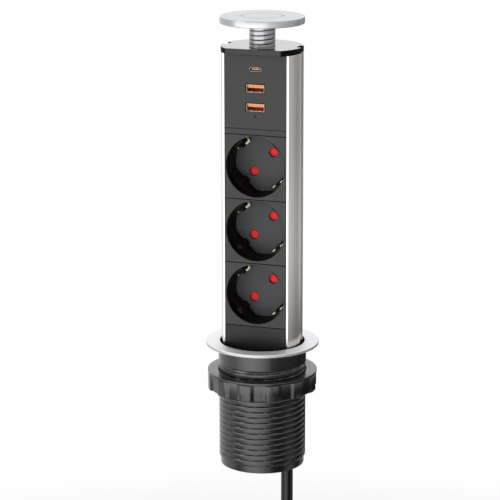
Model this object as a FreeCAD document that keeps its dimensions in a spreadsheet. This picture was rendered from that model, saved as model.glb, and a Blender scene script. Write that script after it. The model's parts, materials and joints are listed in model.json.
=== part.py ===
import FreeCAD, Part
import math
import os

import Sketcher
from FreeCAD import Placement, Rotation, Vector

# A pull-up worktop socket, shown pulled up. The flat front of the mast faces -Y and Z points up.
# The origin is on the mast's axis, in the plane where the flange lies on the worktop.

# Driving sizes, in millimetres and degrees
SIZES = {
    # flange and sleeve in the worktop
    "flange_reach": 8.4,
    "flange_height": 2.0,
    "ring_sheet": 0.8,
    "ring_edge": 0.4,
    "ring_lip_gap": 0.1,
    "mouth_wall": 1.0,
    "gasket_thickness": 0.5,
    "gasket_margin": 0.6,
    "sleeve_depth": 83.8,
    "neck_step": 0.3,
    "neck_depth": 12.0,
    "thread_depth": 1.0,
    "sleeve_wall": 0.8,
    "sleeve_plain_end": 4.6,
    "bore_gap": 0.4,
    # guide ring and clamp nut
    "guide_height": 4.9,
    "guide_gap": 0.25,
    "key_gap": 0.25,
    "worktop_thickness": 18.0,
    "washer_thickness": 1.5,
    "washer_width": 7.0,
    "nut_height": 11.5,
    "nut_width": 5.6,
    "nut_gap": 0.3,
    "nut_lug": 1.8,
    "nut_lug_width": 6.0,
    # mast
    "mast_radius": 27.1,
    "mast_wall": 1.7,
    "mast_rise": 200.0,
    "mast_foot": 36.0,
    "face_offset": 14.5,
    "slot_half": 21.3,
    "track_half": 22.05,
    "track_front": 13.2,
    "track_back": 11.9,
    "corner_depth": 9.8,
    "groove_centre": 3.0,
    "groove_width": 8.0,
    "groove_depth": 1.5,
    "port_radius": 2.3,
    "port_hole": 1.25,
    "port_circle": 23.6,
    "port_angle": 62.0,
    "end_cap_thickness": 3.75,
    "end_cap_proud": 0.1,
    "end_cap_front": 19.5,
    "notch_depth": 3.6,
    "spigot_depth": 3.0,
    "tab_wall": 1.6,
    "tab_in": 7.0,
    "tab_out": 17.5,
    "spigot_gap": 0.15,
    "foot_cap_thickness": 4.0,
    "end_screw_head": 1.5,
    "end_screw_head_radius": 2.2,
    "end_screw_length": 14.0,
    "stop_height": 8.0,
    "fit_gap": 0.05,
    "slide_gap": 0.1,
    # modules in the front of the mast
    "plate_thickness": 2.5,
    "joint_gap": 0.14,
    "usb_height": 49.4,
    "spacer_height": 4.05,
    "skirt_half": 19.5,
    "skirt_wall": 1.2,
    # charging ports
    "port_c_drop": 10.0,
    "port_a_drop": 22.45,
    "port_a_pitch": 12.55,
    "led_drop": 41.05,
    "led_radius": 0.6,
    "shell_depth": 12.7,
    "shell_wall": 0.3,
    "shell_inset": 0.3,
    "usb_a_wide": 13.1,
    "usb_a_high": 5.7,
    "usb_c_wide": 8.9,
    "usb_c_high": 3.2,
    "tongue_inset": 1.0,
    "tongue_base": 2.0,
    "usb_a_tongue": 1.9,
    "usb_a_tongue_side": 0.6,
    "usb_a_tongue_drop": 0.45,
    "usb_c_tongue": 0.7,
    "board_thickness": 1.6,
    "board_half": 17.5,
    "board_head": 7.8,
    "board_foot": 3.0,
    "converter_half": 12.0,
    "converter_height": 34.0,
    "converter_depth": 15.0,
    # earthed round sockets
    "recess_radius": 20.2,
    "module_margin": 1.46,
    "recess_depth": 17.5,
    "recess_wall": 1.4,
    "recess_rise": 0.4,
    "mouth_depth": 3.3,
    "mouth_step": 0.5,
    "flat_inset": 2.3,
    "rib_reach": 1.6,
    "rib_width": 4.0,
    "floor_thickness": 1.6,
    "pin_spacing": 19.0,
    "pin_hole": 2.9,
    "pin_angle": 45.0,
    "earth_slot_inset": 3.3,
    "earth_slot_gap": 0.3,
    "earth_slot_front": 5.5,
    # inside each socket
    "carrier_half_width": 16.5,
    "carrier_margin": 1.16,
    "carrier_depth": 10.9,
    "pocket_radius": 14.2,
    "pocket_depth": 3.1,
    "shutter_thickness": 2.6,
    "shutter_reach": 13.4,
    "shutter_width": 6.4,
    "hub_radius": 3.8,
    "pivot_radius": 1.5,
    "passage_radius": 3.2,
    "contact_wall": 0.75,
    "contact_slit": 0.8,
    "strip": 0.6,
    "earth_width": 7.0,
    "earth_leg_inset": 0.1,
    "earth_nose_inset": 2.7,
    "earth_tail_inset": 1.5,
    "earth_front": 6.0,
    "earth_gap": 2.0,
    "earth_slit": 1.5,
    "bar_thickness": 0.8,
    "bar_width": 8.0,
    "earth_bar_width": 5.0,
    "bar_hole": 2.5,
    "bar_tail": 8.0,
    "bar_head": 16.0,
    # lid, post and spring
    "lid_turn": 18.56,
    "cap_rim_gap": 0.7,
    "cap_thickness": 4.5,
    "cap_edge": 0.45,
    "cap_seat_gap": 0.4,
    "press_travel": 4.2,
    "cap_floor": 1.0,
    "neck_height": 14.9,
    "grip_radius": 12.9,
    "grip_thickness": 1.8,
    "grip_gap": 0.25,
    "pin_radius": 0.6,
    "pin_depth": 0.9,
    "pin_length": 4.0,
    "pin_bore_gap": 0.05,
    "post_radius": 6.5,
    "post_tail": 3.05,
    "post_solid": 8.0,
    "spigot_radius": 5.0,
    "bush_wall": 1.4,
    "bush_rim": 0.8,
    "bush_flange": 1.4,
    "clip_thickness": 0.9,
    "clip_reach": 2.1,
    "clip_groove": 0.9,
    "clip_mouth": 8.0,
    "screw_head": 0.8,
    "screw_head_radius": 6.0,
    "screw_radius": 1.5,
    "screw_length": 9.0,
    "spring_wire": 1.22,
    "spring_radius": 8.15,
    "spring_end_pitch": 2.9,
    "spring_end_turns": 0.75,
    "spring_free_turns": 2.75,
    "spring_start": 245.0,
    # cord, coil and plug
    "cord_radius": 4.1,
    "cord_x": 17.2,
    "cord_y": 1.5,
    "gland_length": 22.0,
    "gland_radius": 6.4,
    "gland_barrel": 5.6,
    "gland_rim": 1.6,
    "gland_tip": 0.9,
    "clamp_height": 7.0,
    "clamp_in": 8.5,
    "clamp_out": 5.3,
    "clamp_half": 7.0,
    "stub_length": 6.0,
    "drop_foot": 290.0,
    "bend_radius": 41.0,
    "coil_lead": 8.2,
    "coil_start_radius": 51.0,
    "coil_step": 8.9,
    "coil_layer": 8.8,
    "coil_dip": 1.6,
    "tail_run": 36.0,
    "tie_width": 10.0,
    "tie_strap": 0.6,
    "tie_gap": 1.0,
    "plug_radius": 18.4,
    "plug_face": 20.0,
    "plug_grip": 14.0,
    "plug_grip_radius": 16.8,
    "plug_flat": 17.0,
    "plug_edge": 1.5,
    "boot_length": 22.0,
    "boot_radius": 7.6,
    "boot_tip": 5.4,
    "earth_strip_width": 6.0,
    "plug_pin_radius": 2.4,
    "plug_pin_length": 19.0,
}
SOCKETS = 3
NUT_LUGS = 12
COIL_TURNS = 2
DIAGONAL = math.sqrt(0.5)

doc = FreeCAD.newDocument("worktop_socket")
sheet = doc.addObject("Spreadsheet::Sheet", "sizes")
for row, (word, number) in enumerate(SIZES.items(), 1):
    sheet.set(f"A{row}", word)
    sheet.set(f"B{row}", str(number))
    sheet.setAlias(f"B{row}", word)
doc.recompute()


class Size:
    """A number together with the sheet formula that it comes from."""

    def __init__(self, formula, number):
        self.formula = formula
        self.number = number

    def __add__(self, other):
        other = as_size(other)
        return Size(f"({self.formula} + {other.formula})", self.number + other.number)

    def __neg__(self):
        return Size(f"(-1 * {self.formula})", -self.number)

    def __sub__(self, other):
        other = as_size(other)
        return Size(f"({self.formula} - {other.formula})", self.number - other.number)

    def __rsub__(self, other):
        return as_size(other) - self

    def __mul__(self, other):
        other = as_size(other)
        return Size(f"({self.formula} * {other.formula})", self.number * other.number)

    def __truediv__(self, other):
        other = as_size(other)
        return Size(f"({self.formula} / {other.formula})", self.number / other.number)

    __radd__ = __add__
    __rmul__ = __mul__


class Sizes:
    """The sheet's cells, each read by its name."""

    def __getattr__(self, word):
        return Size("sizes." + word, SIZES[word])


def as_size(value):
    if isinstance(value, Size):
        return value
    return Size(repr(float(value)), float(value))


S = Sizes()
PLACES = {"x": "Placement.Base.x", "y": "Placement.Base.y", "z": "Placement.Base.z"}
TURN_TO_Y = Rotation(Vector(1, 0, 0), -90)
NODES = {}


def tie(thing, **values):
    """Ties an object's properties to the sheet."""
    for word, value in values.items():
        thing.setExpression(PLACES.get(word, word), as_size(value).formula)
    return thing


def fresh(kind, label):
    thing = doc.addObject(kind, label)
    thing.Label = label
    return thing


def rod(label, radius, low, high, x=0, y=0):
    """An upright round bar between two heights."""
    bar = fresh("Part::Cylinder", label)
    return tie(bar, Radius=radius, Height=as_size(high) - low, x=x, y=y, z=low)


def bore(label, radius, front, back, x=0, z=0):
    """A round bar that runs along Y."""
    bar = fresh("Part::Cylinder", label)
    bar.Placement = Placement(Vector(), TURN_TO_Y)
    return tie(bar, Radius=radius, Height=as_size(back) - front, x=x, y=front, z=z)


def block(label, x, y, z):
    """A box between three pairs of sides."""
    box = fresh("Part::Box", label)
    (x0, x1), (y0, y1), (z0, z1) = x, y, z
    tie(box, Length=as_size(x1) - x0, Width=as_size(y1) - y0, Height=as_size(z1) - z0)
    return tie(box, x=x0, y=y0, z=z0)


def fuse(label, *things):
    joined = fresh("Part::MultiFuse", label)
    joined.Shapes = list(things)
    return joined


def common(label, *things):
    shared = fresh("Part::MultiCommon", label)
    shared.Shapes = list(things)
    return shared


def cut(label, base, *tools):
    made = fresh("Part::Cut", label)
    made.Base = base
    made.Tool = tools[0] if len(tools) == 1 else fuse(label + "_tools", *tools)
    return made


def group(label, *things):
    """Separate solids that share one node."""
    held = fresh("Part::Compound", label)
    held.Links = list(things)
    return held


def swing(thing, angle, axis=Vector(0, -1, 0)):
    """Turns a finished object about an axis through the origin."""
    thing.Placement = Placement(Vector(), Rotation(axis, as_size(angle).number))
    thing.setExpression("Placement.Rotation.Angle", as_size(angle).formula)
    return thing


def node(thing):
    """Keeps an object as one of the kept pieces, under its label."""
    NODES[thing.Label] = thing
    return thing


def plane_of(body, role):
    return next(item for item in body.Origin.OriginFeatures if item.Role == role)


def outline(body, label, role, corners):
    """A closed sketch of straight lines whose corners follow the sheet."""
    sketch = body.newObject("Sketcher::SketchObject", label)
    sketch.AttachmentSupport = (plane_of(body, role), [""])
    sketch.MapMode = "FlatFace"
    corners = [(as_size(x), as_size(y)) for x, y in corners]
    points = [Vector(x.number, y.number, 0) for x, y in corners]
    count = len(points)
    for index in range(count):
        sketch.addGeometry(Part.LineSegment(points[index], points[(index + 1) % count]))
    for index in range(count):
        follower = (index + 1) % count
        sketch.addConstraint(Sketcher.Constraint("Coincident", index, 2, follower, 1))
    for index, (x, y) in enumerate(corners):
        for kind, value in (("DistanceX", x), ("DistanceY", y)):
            number = sketch.addConstraint(Sketcher.Constraint(kind, index, 1, value.number))
            sketch.setExpression(f"Constraints[{number}]", value.formula)
    return sketch


def lathe(label, corners):
    """A body turned about Z from an outline of radius and height."""
    body = fresh("PartDesign::Body", label)
    sketch = outline(body, label + "_profile", "XZ_Plane", corners)
    turned = body.newObject("PartDesign::Revolution", label + "_turned")
    turned.Profile = sketch
    turned.ReferenceAxis = (sketch, ["V_Axis"])
    turned.Angle = 360
    return body


def pocket(body, label, role, corners):
    """Cuts an outline through the whole body, both ways from its plane."""
    sketch = outline(body, label + "_outline", role, corners)
    cutter = body.newObject("PartDesign::Pocket", label)
    cutter.Profile = sketch
    cutter.Type = "ThroughAll"
    cutter.SideType = "Symmetric"
    return cutter


def arc_edges(start, heading, finish, arrival):
    """Two tangent arcs from one station to the next, or one line where both point straight along."""
    chord = finish - start
    if chord.getAngle(heading) < 1e-6 and chord.getAngle(arrival) < 1e-6:
        return [Part.LineSegment(start, finish).toShape()]
    both = heading + arrival
    spread = 2 * (1 - heading.dot(arrival))
    along = chord.dot(both)
    if spread < 1e-9:
        reach = chord.dot(chord) / (2 * along)
    else:
        reach = (math.sqrt(along * along + spread * chord.dot(chord)) - along) / spread
    middle = (start + finish + (heading - arrival) * reach) * 0.5
    edges = []
    for near, corner, far in (
        (start, start + heading * reach, middle),
        (middle, finish - arrival * reach, finish),
    ):
        weight = math.cos((far - near).getAngle(corner - near))
        peak = (near + far + corner * (2 * weight)) * (0.5 / (1 + weight))
        edges.append(Part.Arc(near, peak, far).toShape())
    return edges


def stations_of(route, quarters):
    """Points and directions of a route at each quarter turn."""
    found = []
    for step in range(quarters + 1):
        turn = step / 4
        ahead = route(turn + 0.001)
        behind = route(turn - 0.001)
        found.append((route(turn), (ahead - behind).normalize()))
    return found


def least_gap(path, radius):
    """The smallest clear distance between two turns of a tube, measured on points of its axis."""
    step = radius / 2
    points = path.discretize(Distance=step)
    skip = int(math.ceil(3 * math.pi * radius / step))
    closest = min(
        points[first].distanceToPoint(points[second])
        for first in range(0, len(points) - skip, 2)
        for second in range(first + skip, len(points), 2)
    )
    return closest - 2 * radius


def tube(label, stations, radius):
    """One unbroken round tube through stations, with its figures printed."""
    edges = []
    for (start, heading), (finish, arrival) in zip(stations, stations[1:]):
        edges += arc_edges(start, heading, finish, arrival)
    path = Part.Wire(edges)
    ring = Part.Wire([Part.Circle(stations[0][0], stations[0][1], radius).toShape()])
    made = fresh("Part::Feature", label)
    made.Shape = path.makePipeShell([ring], True, False)
    arcs = [edge.Curve.Radius for edge in edges if hasattr(edge.Curve, "Radius")]
    expected = math.pi * radius**2 * path.Length
    print(f"{label}: length {path.Length:.1f}, radii {min(arcs):.1f} to {max(arcs):.1f},")
    print(f"  volume over section times length {made.Shape.Volume / expected:.4f},")
    print(f"  least gap to itself {least_gap(path, radius):.2f}")
    return made


# Radii of the round parts, from the mast outwards
end_cap_radius = S.mast_radius + S.end_cap_proud
sleeve_bore = S.mast_radius + S.bore_gap
sleeve_core_radius = sleeve_bore + S.sleeve_wall
thread_radius = sleeve_core_radius + S.thread_depth
neck_radius = thread_radius + S.neck_step
mouth_radius = neck_radius - S.mouth_wall
flange_radius = neck_radius + S.flange_reach
cap_radius = mouth_radius - S.cap_rim_gap

# A socket module, from the standard recess outwards and inwards
socket_height = (S.recess_radius + S.module_margin) * 2
well_radius = S.recess_radius - S.mouth_step
flat_half = well_radius - S.flat_inset
earth_slot_in = well_radius - S.earth_slot_inset
earth_leg = well_radius - S.earth_leg_inset
earth_nose = well_radius - S.earth_nose_inset
earth_tail = well_radius - S.earth_tail_inset
carrier_half_height = socket_height / 2 - S.carrier_margin

# Heights on the mast, from the top down
end_cap_top = S.flange_height + S.mast_rise
mast_head = end_cap_top - S.end_cap_thickness
usb_low = mast_head - S.usb_height
spacer_low = usb_low - S.spacer_height
panel_top = spacer_low - socket_height * SOCKETS
cap_low = end_cap_top + S.neck_height
cap_top = cap_low + S.cap_thickness
guide_top = S.flange_height - S.cap_thickness - S.cap_seat_gap - S.press_travel
guide_low = guide_top - S.guide_height
plate_back = -(S.face_offset - S.plate_thickness)


def socket_middle(index):
    """The height of a socket module's middle, the topmost first."""
    return spacer_low - socket_height * (index + 0.5)


# Worktop fitting


def flange_ring():
    """Spun sheet ring whose lip hides the edge of the sleeve's flange."""
    inner = flange_radius - S.ring_sheet
    under = S.flange_height - S.ring_sheet
    corners = [
        (mouth_radius, under),
        (inner, under),
        (inner, S.ring_lip_gap),
        (flange_radius, S.ring_lip_gap),
        (flange_radius, S.flange_height - S.ring_edge),
        (flange_radius - S.ring_edge, S.flange_height),
        (mouth_radius, S.flange_height),
    ]
    return node(lathe("flange_ring", corners))


def flange_gasket():
    inner = neck_radius + S.gasket_margin
    outer = flange_radius - S.ring_sheet - S.gasket_margin
    corners = [(inner, 0), (outer, 0), (outer, S.gasket_thickness), (inner, S.gasket_thickness)]
    return node(lathe("flange_gasket", corners))


def threaded_sleeve():
    """Tube with a thin flange on top, a seat for the guide ring, and a plain lower end."""
    edge = flange_radius - S.ring_sheet - S.slide_gap
    top = S.flange_height - S.ring_sheet
    thread_end = S.sleeve_plain_end - S.sleeve_depth
    corners = [
        (mouth_radius, top),
        (mouth_radius, guide_low),
        (sleeve_bore, guide_low),
        (sleeve_bore, -S.sleeve_depth),
        (sleeve_core_radius, -S.sleeve_depth),
        (sleeve_core_radius, thread_end),
        (thread_radius, thread_end),
        (thread_radius, thread_radius - neck_radius - S.neck_depth),
        (neck_radius, -S.neck_depth),
        (neck_radius, S.gasket_thickness),
        (edge, S.gasket_thickness),
        (edge, top),
    ]
    return node(lathe("threaded_sleeve", corners))


def guide_ring():
    """Sliding ring with two keys that run in the mast's side grooves."""
    outer = mouth_radius - S.fit_gap
    inner = end_cap_radius + S.guide_gap
    ring = cut(
        "guide_ring_wall",
        rod("guide_ring_outside", outer, guide_low, guide_top),
        rod("guide_ring_inside", inner, guide_low - 1, guide_top + 1),
    )
    reach = S.mast_radius - S.groove_depth + S.key_gap
    half = S.groove_width / 2 - S.key_gap
    width = (S.groove_centre - half, S.groove_centre + half)
    keys = common(
        "guide_keys",
        rod("guide_key_round", inner + (outer - inner) / 2, guide_low, guide_top),
        fuse(
            "guide_key_blocks",
            block("guide_key_right", (reach, outer), width, (guide_low, guide_top)),
            block("guide_key_left", (-outer, -reach), width, (guide_low, guide_top)),
        ),
    )
    return node(fuse("guide_ring", ring, keys))


def clamp_washer():
    inner = neck_radius + S.nut_gap
    outer = inner + S.washer_width
    top = -S.worktop_thickness
    low = top - S.washer_thickness
    return node(lathe("clamp_washer", [(inner, low), (outer, low), (outer, top), (inner, top)]))


def clamp_nut():
    """Ring nut with lugs for the hand all round."""
    inner = thread_radius + S.nut_gap
    outer = inner + S.nut_width
    tip = outer + S.nut_lug
    top = -S.worktop_thickness - S.washer_thickness - S.slide_gap
    low = top - S.nut_height
    body = lathe("clamp_nut", [(inner, low), (tip, low), (tip, top), (inner, top)])
    half = S.nut_lug_width / 2
    notch = [(outer, -half), (tip + 1, -half), (tip + 1, half), (outer, half)]
    first = pocket(body, "nut_notch", "XY_Plane", notch)
    pattern = body.newObject("PartDesign::PolarPattern", "nut_notches")
    pattern.Originals = [first]
    pattern.Axis = (plane_of(body, "Z_Axis"), [""])
    pattern.Angle = 360
    pattern.Occurrences = NUT_LUGS
    body.Tip = pattern
    return node(body)


# Mast


def port_spots():
    """Where the three screw ports stand, as plan positions."""
    turn = math.radians(S.port_angle.number)
    return [
        ("back", as_size(0), S.port_circle * 1),
        ("right", Size(f"({S.port_circle.formula} * sin({S.port_angle.formula} * 1deg))",
                       S.port_circle.number * math.sin(turn)),
         Size(f"({S.port_circle.formula} * cos({S.port_angle.formula} * 1deg))",
              S.port_circle.number * math.cos(turn))),
        ("left", Size(f"(-1 * {S.port_circle.formula} * sin({S.port_angle.formula} * 1deg))",
                      -S.port_circle.number * math.sin(turn)),
         Size(f"({S.port_circle.formula} * cos({S.port_angle.formula} * 1deg))",
              S.port_circle.number * math.cos(turn))),
    ]


def mast_profile():
    """Extrusion with an open flat front, a track each side of it, side grooves and screw ports."""
    low = -S.mast_foot
    wide = S.mast_radius + 1
    front = -S.face_offset
    outside = cut(
        "profile_outside",
        rod("profile_round", S.mast_radius, low, mast_head),
        block("profile_front_off", (-wide, wide), (-wide, front), (low - 1, mast_head + 1)),
    )
    inner = S.mast_radius - S.mast_wall
    hollow = common(
        "profile_hollow",
        rod("profile_hollow_round", inner, low - 1, mast_head + 1),
        block("profile_hollow_back", (-wide, wide), (-S.corner_depth, wide), (low - 1, mast_head + 1)),
    )
    mouth = block(
        "profile_mouth",
        (-S.slot_half, S.slot_half),
        (front - 1, 1 - S.corner_depth),
        (low - 1, mast_head + 1),
    )
    track = block(
        "profile_track",
        (-S.track_half, S.track_half),
        (-S.track_front, -S.track_back),
        (low - 1, mast_head + 1),
    )
    shell = cut("profile_shell", outside, hollow, mouth, track)
    floor = S.mast_radius - S.groove_depth
    half = S.groove_width / 2
    backing = half + S.mast_wall
    added = []
    for side, sign in (("right", 1), ("left", -1)):
        near, far = sorted(
            ((floor - S.mast_wall) * sign, wide * sign),
            key=lambda size: size.number,
        )
        spread = (S.groove_centre - backing, S.groove_centre + backing)
        added.append(block(f"profile_groove_back_{side}", (near, far), spread, (low, mast_head)))
    backs = common(
        "profile_groove_backs",
        rod("profile_back_round", S.mast_radius, low, mast_head),
        fuse("profile_back_blocks", *added),
    )
    added = [backs]
    holes = []
    for side, x, y in port_spots():
        added.append(rod(f"profile_port_{side}", S.port_radius, low, mast_head, x, y))
        holes.append(rod(f"profile_port_hole_{side}", S.port_hole, low - 1, mast_head + 1, x, y))
    whole = fuse("profile_whole", shell, *added)
    grooves = []
    for side, sign in (("right", 1), ("left", -1)):
        near, far = sorted((floor * sign, wide * sign), key=lambda size: size.number)
        spread = (S.groove_centre - half, S.groove_centre + half)
        grooves.append(
            block(f"profile_groove_{side}", (near, far), spread, (low - 1, mast_head + 1))
        )
    return node(cut("mast_profile", whole, *holes, *grooves))


def end_tabs(label, low, high):
    """Two curved tabs of an end cap that fit inside the profile's back."""
    outer = S.mast_radius - S.mast_wall - S.spigot_gap
    ring = cut(
        label + "_ring",
        rod(label + "_outside", outer, low, high),
        rod(label + "_inside", outer - S.tab_wall, low - 1, high + 1),
    )
    spans = [(S.tab_in, S.tab_out), (-S.tab_out, -S.tab_in)]
    sides = [
        block(f"{label}_span_{number}", span, (0, outer), (low, high))
        for number, span in enumerate(spans, 1)
    ]
    return common(label, ring, fuse(label + "_spans", *sides))


def top_end_cap():
    """Plate over the mast's head that stands proud of the flat face, notched for the keys."""
    wide = end_cap_radius + 1
    plate = fuse(
        "end_cap_solid",
        rod("end_cap_plate", end_cap_radius, mast_head, end_cap_top),
        end_tabs("end_cap_tabs", mast_head - S.spigot_depth, mast_head),
    )
    half = S.groove_width / 2
    spread = (S.groove_centre - half, S.groove_centre + half)
    floor = end_cap_radius - S.notch_depth
    tools = [
        block("end_cap_front_off", (-wide, wide), (-wide, -S.end_cap_front), (mast_head, end_cap_top)),
        block("end_cap_notch_right", (floor, wide), spread, (mast_head - 1, end_cap_top + 1)),
        block("end_cap_notch_left", (-wide, -floor), spread, (mast_head - 1, end_cap_top + 1)),
        rod("end_cap_hole", bush_radius, mast_head - 1, end_cap_top + 1),
    ]
    return node(cut("top_end_cap", plate, *tools))


def bottom_end_cap():
    """Plate under the mast's foot with the cord's hole and three screw holes."""
    top = -S.mast_foot
    low = top - S.foot_cap_thickness
    wide = S.mast_radius + 1
    plate = fuse(
        "foot_cap_solid",
        rod("foot_cap_plate", S.mast_radius, low, top),
        end_tabs("foot_cap_tabs", top, top + S.spigot_depth),
    )
    tools = [
        block("foot_cap_front_off", (-wide, wide), (-wide, -S.face_offset), (low - 1, top + S.spigot_depth + 1)),
        rod("foot_cap_cord_hole", S.gland_barrel, low - 1, top + 1, S.cord_x, S.cord_y),
    ]
    for side, x, y in port_spots():
        tools.append(rod(f"foot_cap_hole_{side}", S.port_hole, low - 1, top + 1, x, y))
        sink = S.end_screw_head_radius + S.fit_gap
        depth = low + S.end_screw_head
        tools.append(rod(f"foot_cap_sink_{side}", sink, low - 1, depth, x, y))
    return node(cut("bottom_end_cap", plate, *tools))


def end_screws():
    low = -S.mast_foot - S.foot_cap_thickness
    made = []
    for side, x, y in port_spots():
        neck = low + S.end_screw_head
        shank = S.port_hole - S.fit_gap
        made.append(
            fuse(
                f"end_screw_{side}",
                rod(f"end_screw_head_{side}", S.end_screw_head_radius, low, neck, x, y),
                rod(f"end_screw_shank_{side}", shank, neck, low + S.end_screw_length, x, y),
            )
        )
    return node(group("end_screws", *made))


def stop_blocks():
    """Blocks in the side grooves that meet the keys when the mast is right up."""
    top = guide_low - S.slide_gap
    low = top - S.stop_height
    half = S.groove_width / 2 - S.fit_gap
    spread = (S.groove_centre - half, S.groove_centre + half)
    near = S.mast_radius - S.groove_depth
    far = S.mast_radius - S.fit_gap
    made = [
        common(
            "stop_block_" + side,
            rod("stop_round_" + side, far, low, top),
            block("stop_box_" + side, span, spread, (low, top)),
        )
        for side, span in (("right", (near, far)), ("left", (-far, -near)))
    ]
    return node(group("stop_blocks", *made))


# Modules in the front of the mast


def plate(label, low, high):
    """A module's front plate with the two tongues that run in the tracks."""
    half = S.slot_half - S.slide_gap
    reach = S.track_half - S.slide_gap
    front = -S.face_offset
    height = (low + S.joint_gap / 2, high - S.joint_gap / 2)
    tongue = -S.track_front + S.slide_gap
    return [
        block(label + "_plate", (-half, half), (front, plate_back), height),
        block(label + "_tongues", (-reach, reach), (tongue, plate_back), height),
    ]


def stadium(label, wide, high, front, back, z):
    """A bar along Y with round ends, as wide and high as given, centred at a height."""
    radius = high / 2
    reach = wide / 2 - radius
    return fuse(
        label,
        block(label + "_middle", (-reach, reach), (front, back), (z - radius, z + radius)),
        bore(label + "_right", radius, front, back, reach, z),
        bore(label + "_left", radius, front, back, -reach, z),
    )


board_front = -(S.face_offset - S.shell_depth)
port_c_middle = mast_head - S.port_c_drop
led_middle = mast_head - S.led_drop


def port_a_middle(index):
    return mast_head - S.port_a_drop - S.port_a_pitch * index


def usb_face():
    """Front of the charging module, with a skirt, open above, that carries the board."""
    front = -S.face_offset
    low = usb_low + S.skirt_wall
    high = mast_head - S.board_head
    wall = S.skirt_wall
    skirt = cut(
        "usb_skirt",
        block("usb_skirt_outside", (-S.skirt_half, S.skirt_half), (plate_back, board_front), (low, high)),
        block(
            "usb_skirt_inside",
            (wall - S.skirt_half, S.skirt_half - wall),
            (plate_back, board_front + 1),
            (low + wall, high + 1),
        ),
    )
    solid = fuse("usb_face_solid", *plate("usb_face", usb_low, mast_head), skirt)
    tools = [
        stadium("usb_c_cut", S.usb_c_wide, S.usb_c_high, front - 1, plate_back + 1, port_c_middle),
        bore("led_cut", S.led_radius, front - 1, plate_back + 1, 0, led_middle),
    ]
    for index in range(2):
        middle = port_a_middle(index)
        tools.append(
            block(
                f"usb_a_cut_{index + 1}",
                (-S.usb_a_wide / 2, S.usb_a_wide / 2),
                (front - 1, plate_back + 1),
                (middle - S.usb_a_high / 2, middle + S.usb_a_high / 2),
            )
        )
    return node(cut("usb_face", solid, *tools))


def usb_a_port(index):
    """A steel shell and the tongue inside it, in the upper half of the opening."""
    front = S.shell_inset - S.face_offset
    middle = port_a_middle(index)
    wide = S.usb_a_wide / 2
    high = S.usb_a_high / 2
    wall = S.shell_wall
    number = index + 1
    shell = cut(
        f"usb_a_shell_{number}",
        block(f"usb_a_out_{number}", (-wide, wide), (front, board_front), (middle - high, middle + high)),
        block(
            f"usb_a_in_{number}",
            (wall - wide, wide - wall),
            (front - 1, board_front + 1),
            (middle - high + wall, middle + high - wall),
        ),
    )
    inside = wide - wall - S.fit_gap
    ceiling = high - wall - S.fit_gap
    tongue_top = middle + ceiling - S.usb_a_tongue_drop
    tongue = fuse(
        f"usb_a_tongue_{number}",
        block(
            f"usb_a_base_{number}",
            (-inside, inside),
            (board_front - S.tongue_base, board_front),
            (middle - ceiling, middle + ceiling),
        ),
        block(
            f"usb_a_blade_{number}",
            (S.usb_a_tongue_side - inside, inside - S.usb_a_tongue_side),
            (front + S.tongue_inset, board_front),
            (tongue_top - S.usb_a_tongue, tongue_top),
        ),
    )
    node(shell)
    return node(tongue)


def usb_c_port():
    front = S.shell_inset - S.face_offset
    wall = S.shell_wall
    wide = S.usb_c_wide - wall * 2
    high = S.usb_c_high - wall * 2
    shell = cut(
        "usb_c_shell",
        stadium("usb_c_out", S.usb_c_wide, S.usb_c_high, front, board_front, port_c_middle),
        stadium("usb_c_in", wide, high, front - 1, board_front + 1, port_c_middle),
    )
    gap = S.fit_gap * 2
    blade = (wide - high) / 2
    half = S.usb_c_tongue / 2
    tongue = fuse(
        "usb_c_tongue",
        stadium("usb_c_base", wide - gap, high - gap, board_front - S.tongue_base, board_front,
                port_c_middle),
        block(
            "usb_c_blade",
            (-blade, blade),
            (front + S.tongue_inset, board_front),
            (port_c_middle - half, port_c_middle + half),
        ),
    )
    node(shell)
    return node(tongue)


def usb_inside():
    """Lamp, circuit board and potted mains converter behind the charging face."""
    node(bore("led_lens", S.led_radius, -S.face_offset, board_front, 0, led_middle))
    back = board_front + S.board_thickness
    high = mast_head - S.board_head
    low = usb_low + S.board_foot
    node(block("usb_board", (-S.board_half, S.board_half), (board_front, back), (low, high)))
    half = S.converter_half
    depth = (back, back + S.converter_depth)
    return node(
        block("usb_converter", (-half, half), depth, (high - S.converter_height, high))
    )


def plain_covers():
    node(fuse("spacer_strip", *plate("spacer_strip", spacer_low, usb_low)))
    return node(fuse("blank_panel", *plate("blank_panel", -S.mast_foot, panel_top)))


# One earthed round socket

floor_front = S.recess_depth - S.face_offset
floor_back = floor_front + S.floor_thickness
carrier_back = floor_back + S.carrier_depth
bar_back = carrier_back + S.bar_thickness
link_front = carrier_back + S.earth_gap
link_back = link_front + S.strip
pin_offset = S.pin_spacing / 2 * DIAGONAL
clip_angle = S.pin_angle + 90


def diagonal(thing, angle, z):
    """Turns a piece made about the origin onto a socket's diagonal and lifts it into place."""
    return tie(swing(thing, angle), z=z)


def side_slots(label, front, back, z):
    """The two openings at the sides of a recess that the earth springs stand in."""
    half = S.earth_width / 2 + S.earth_slot_gap
    far = well_radius + S.recess_wall + 3
    pieces = fuse(
        label,
        block(label + "_near", (earth_slot_in, far), (front, back), (-half, half)),
        block(label + "_far", (-far, -earth_slot_in), (front, back), (-half, half)),
    )
    return diagonal(pieces, clip_angle, z)


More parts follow.
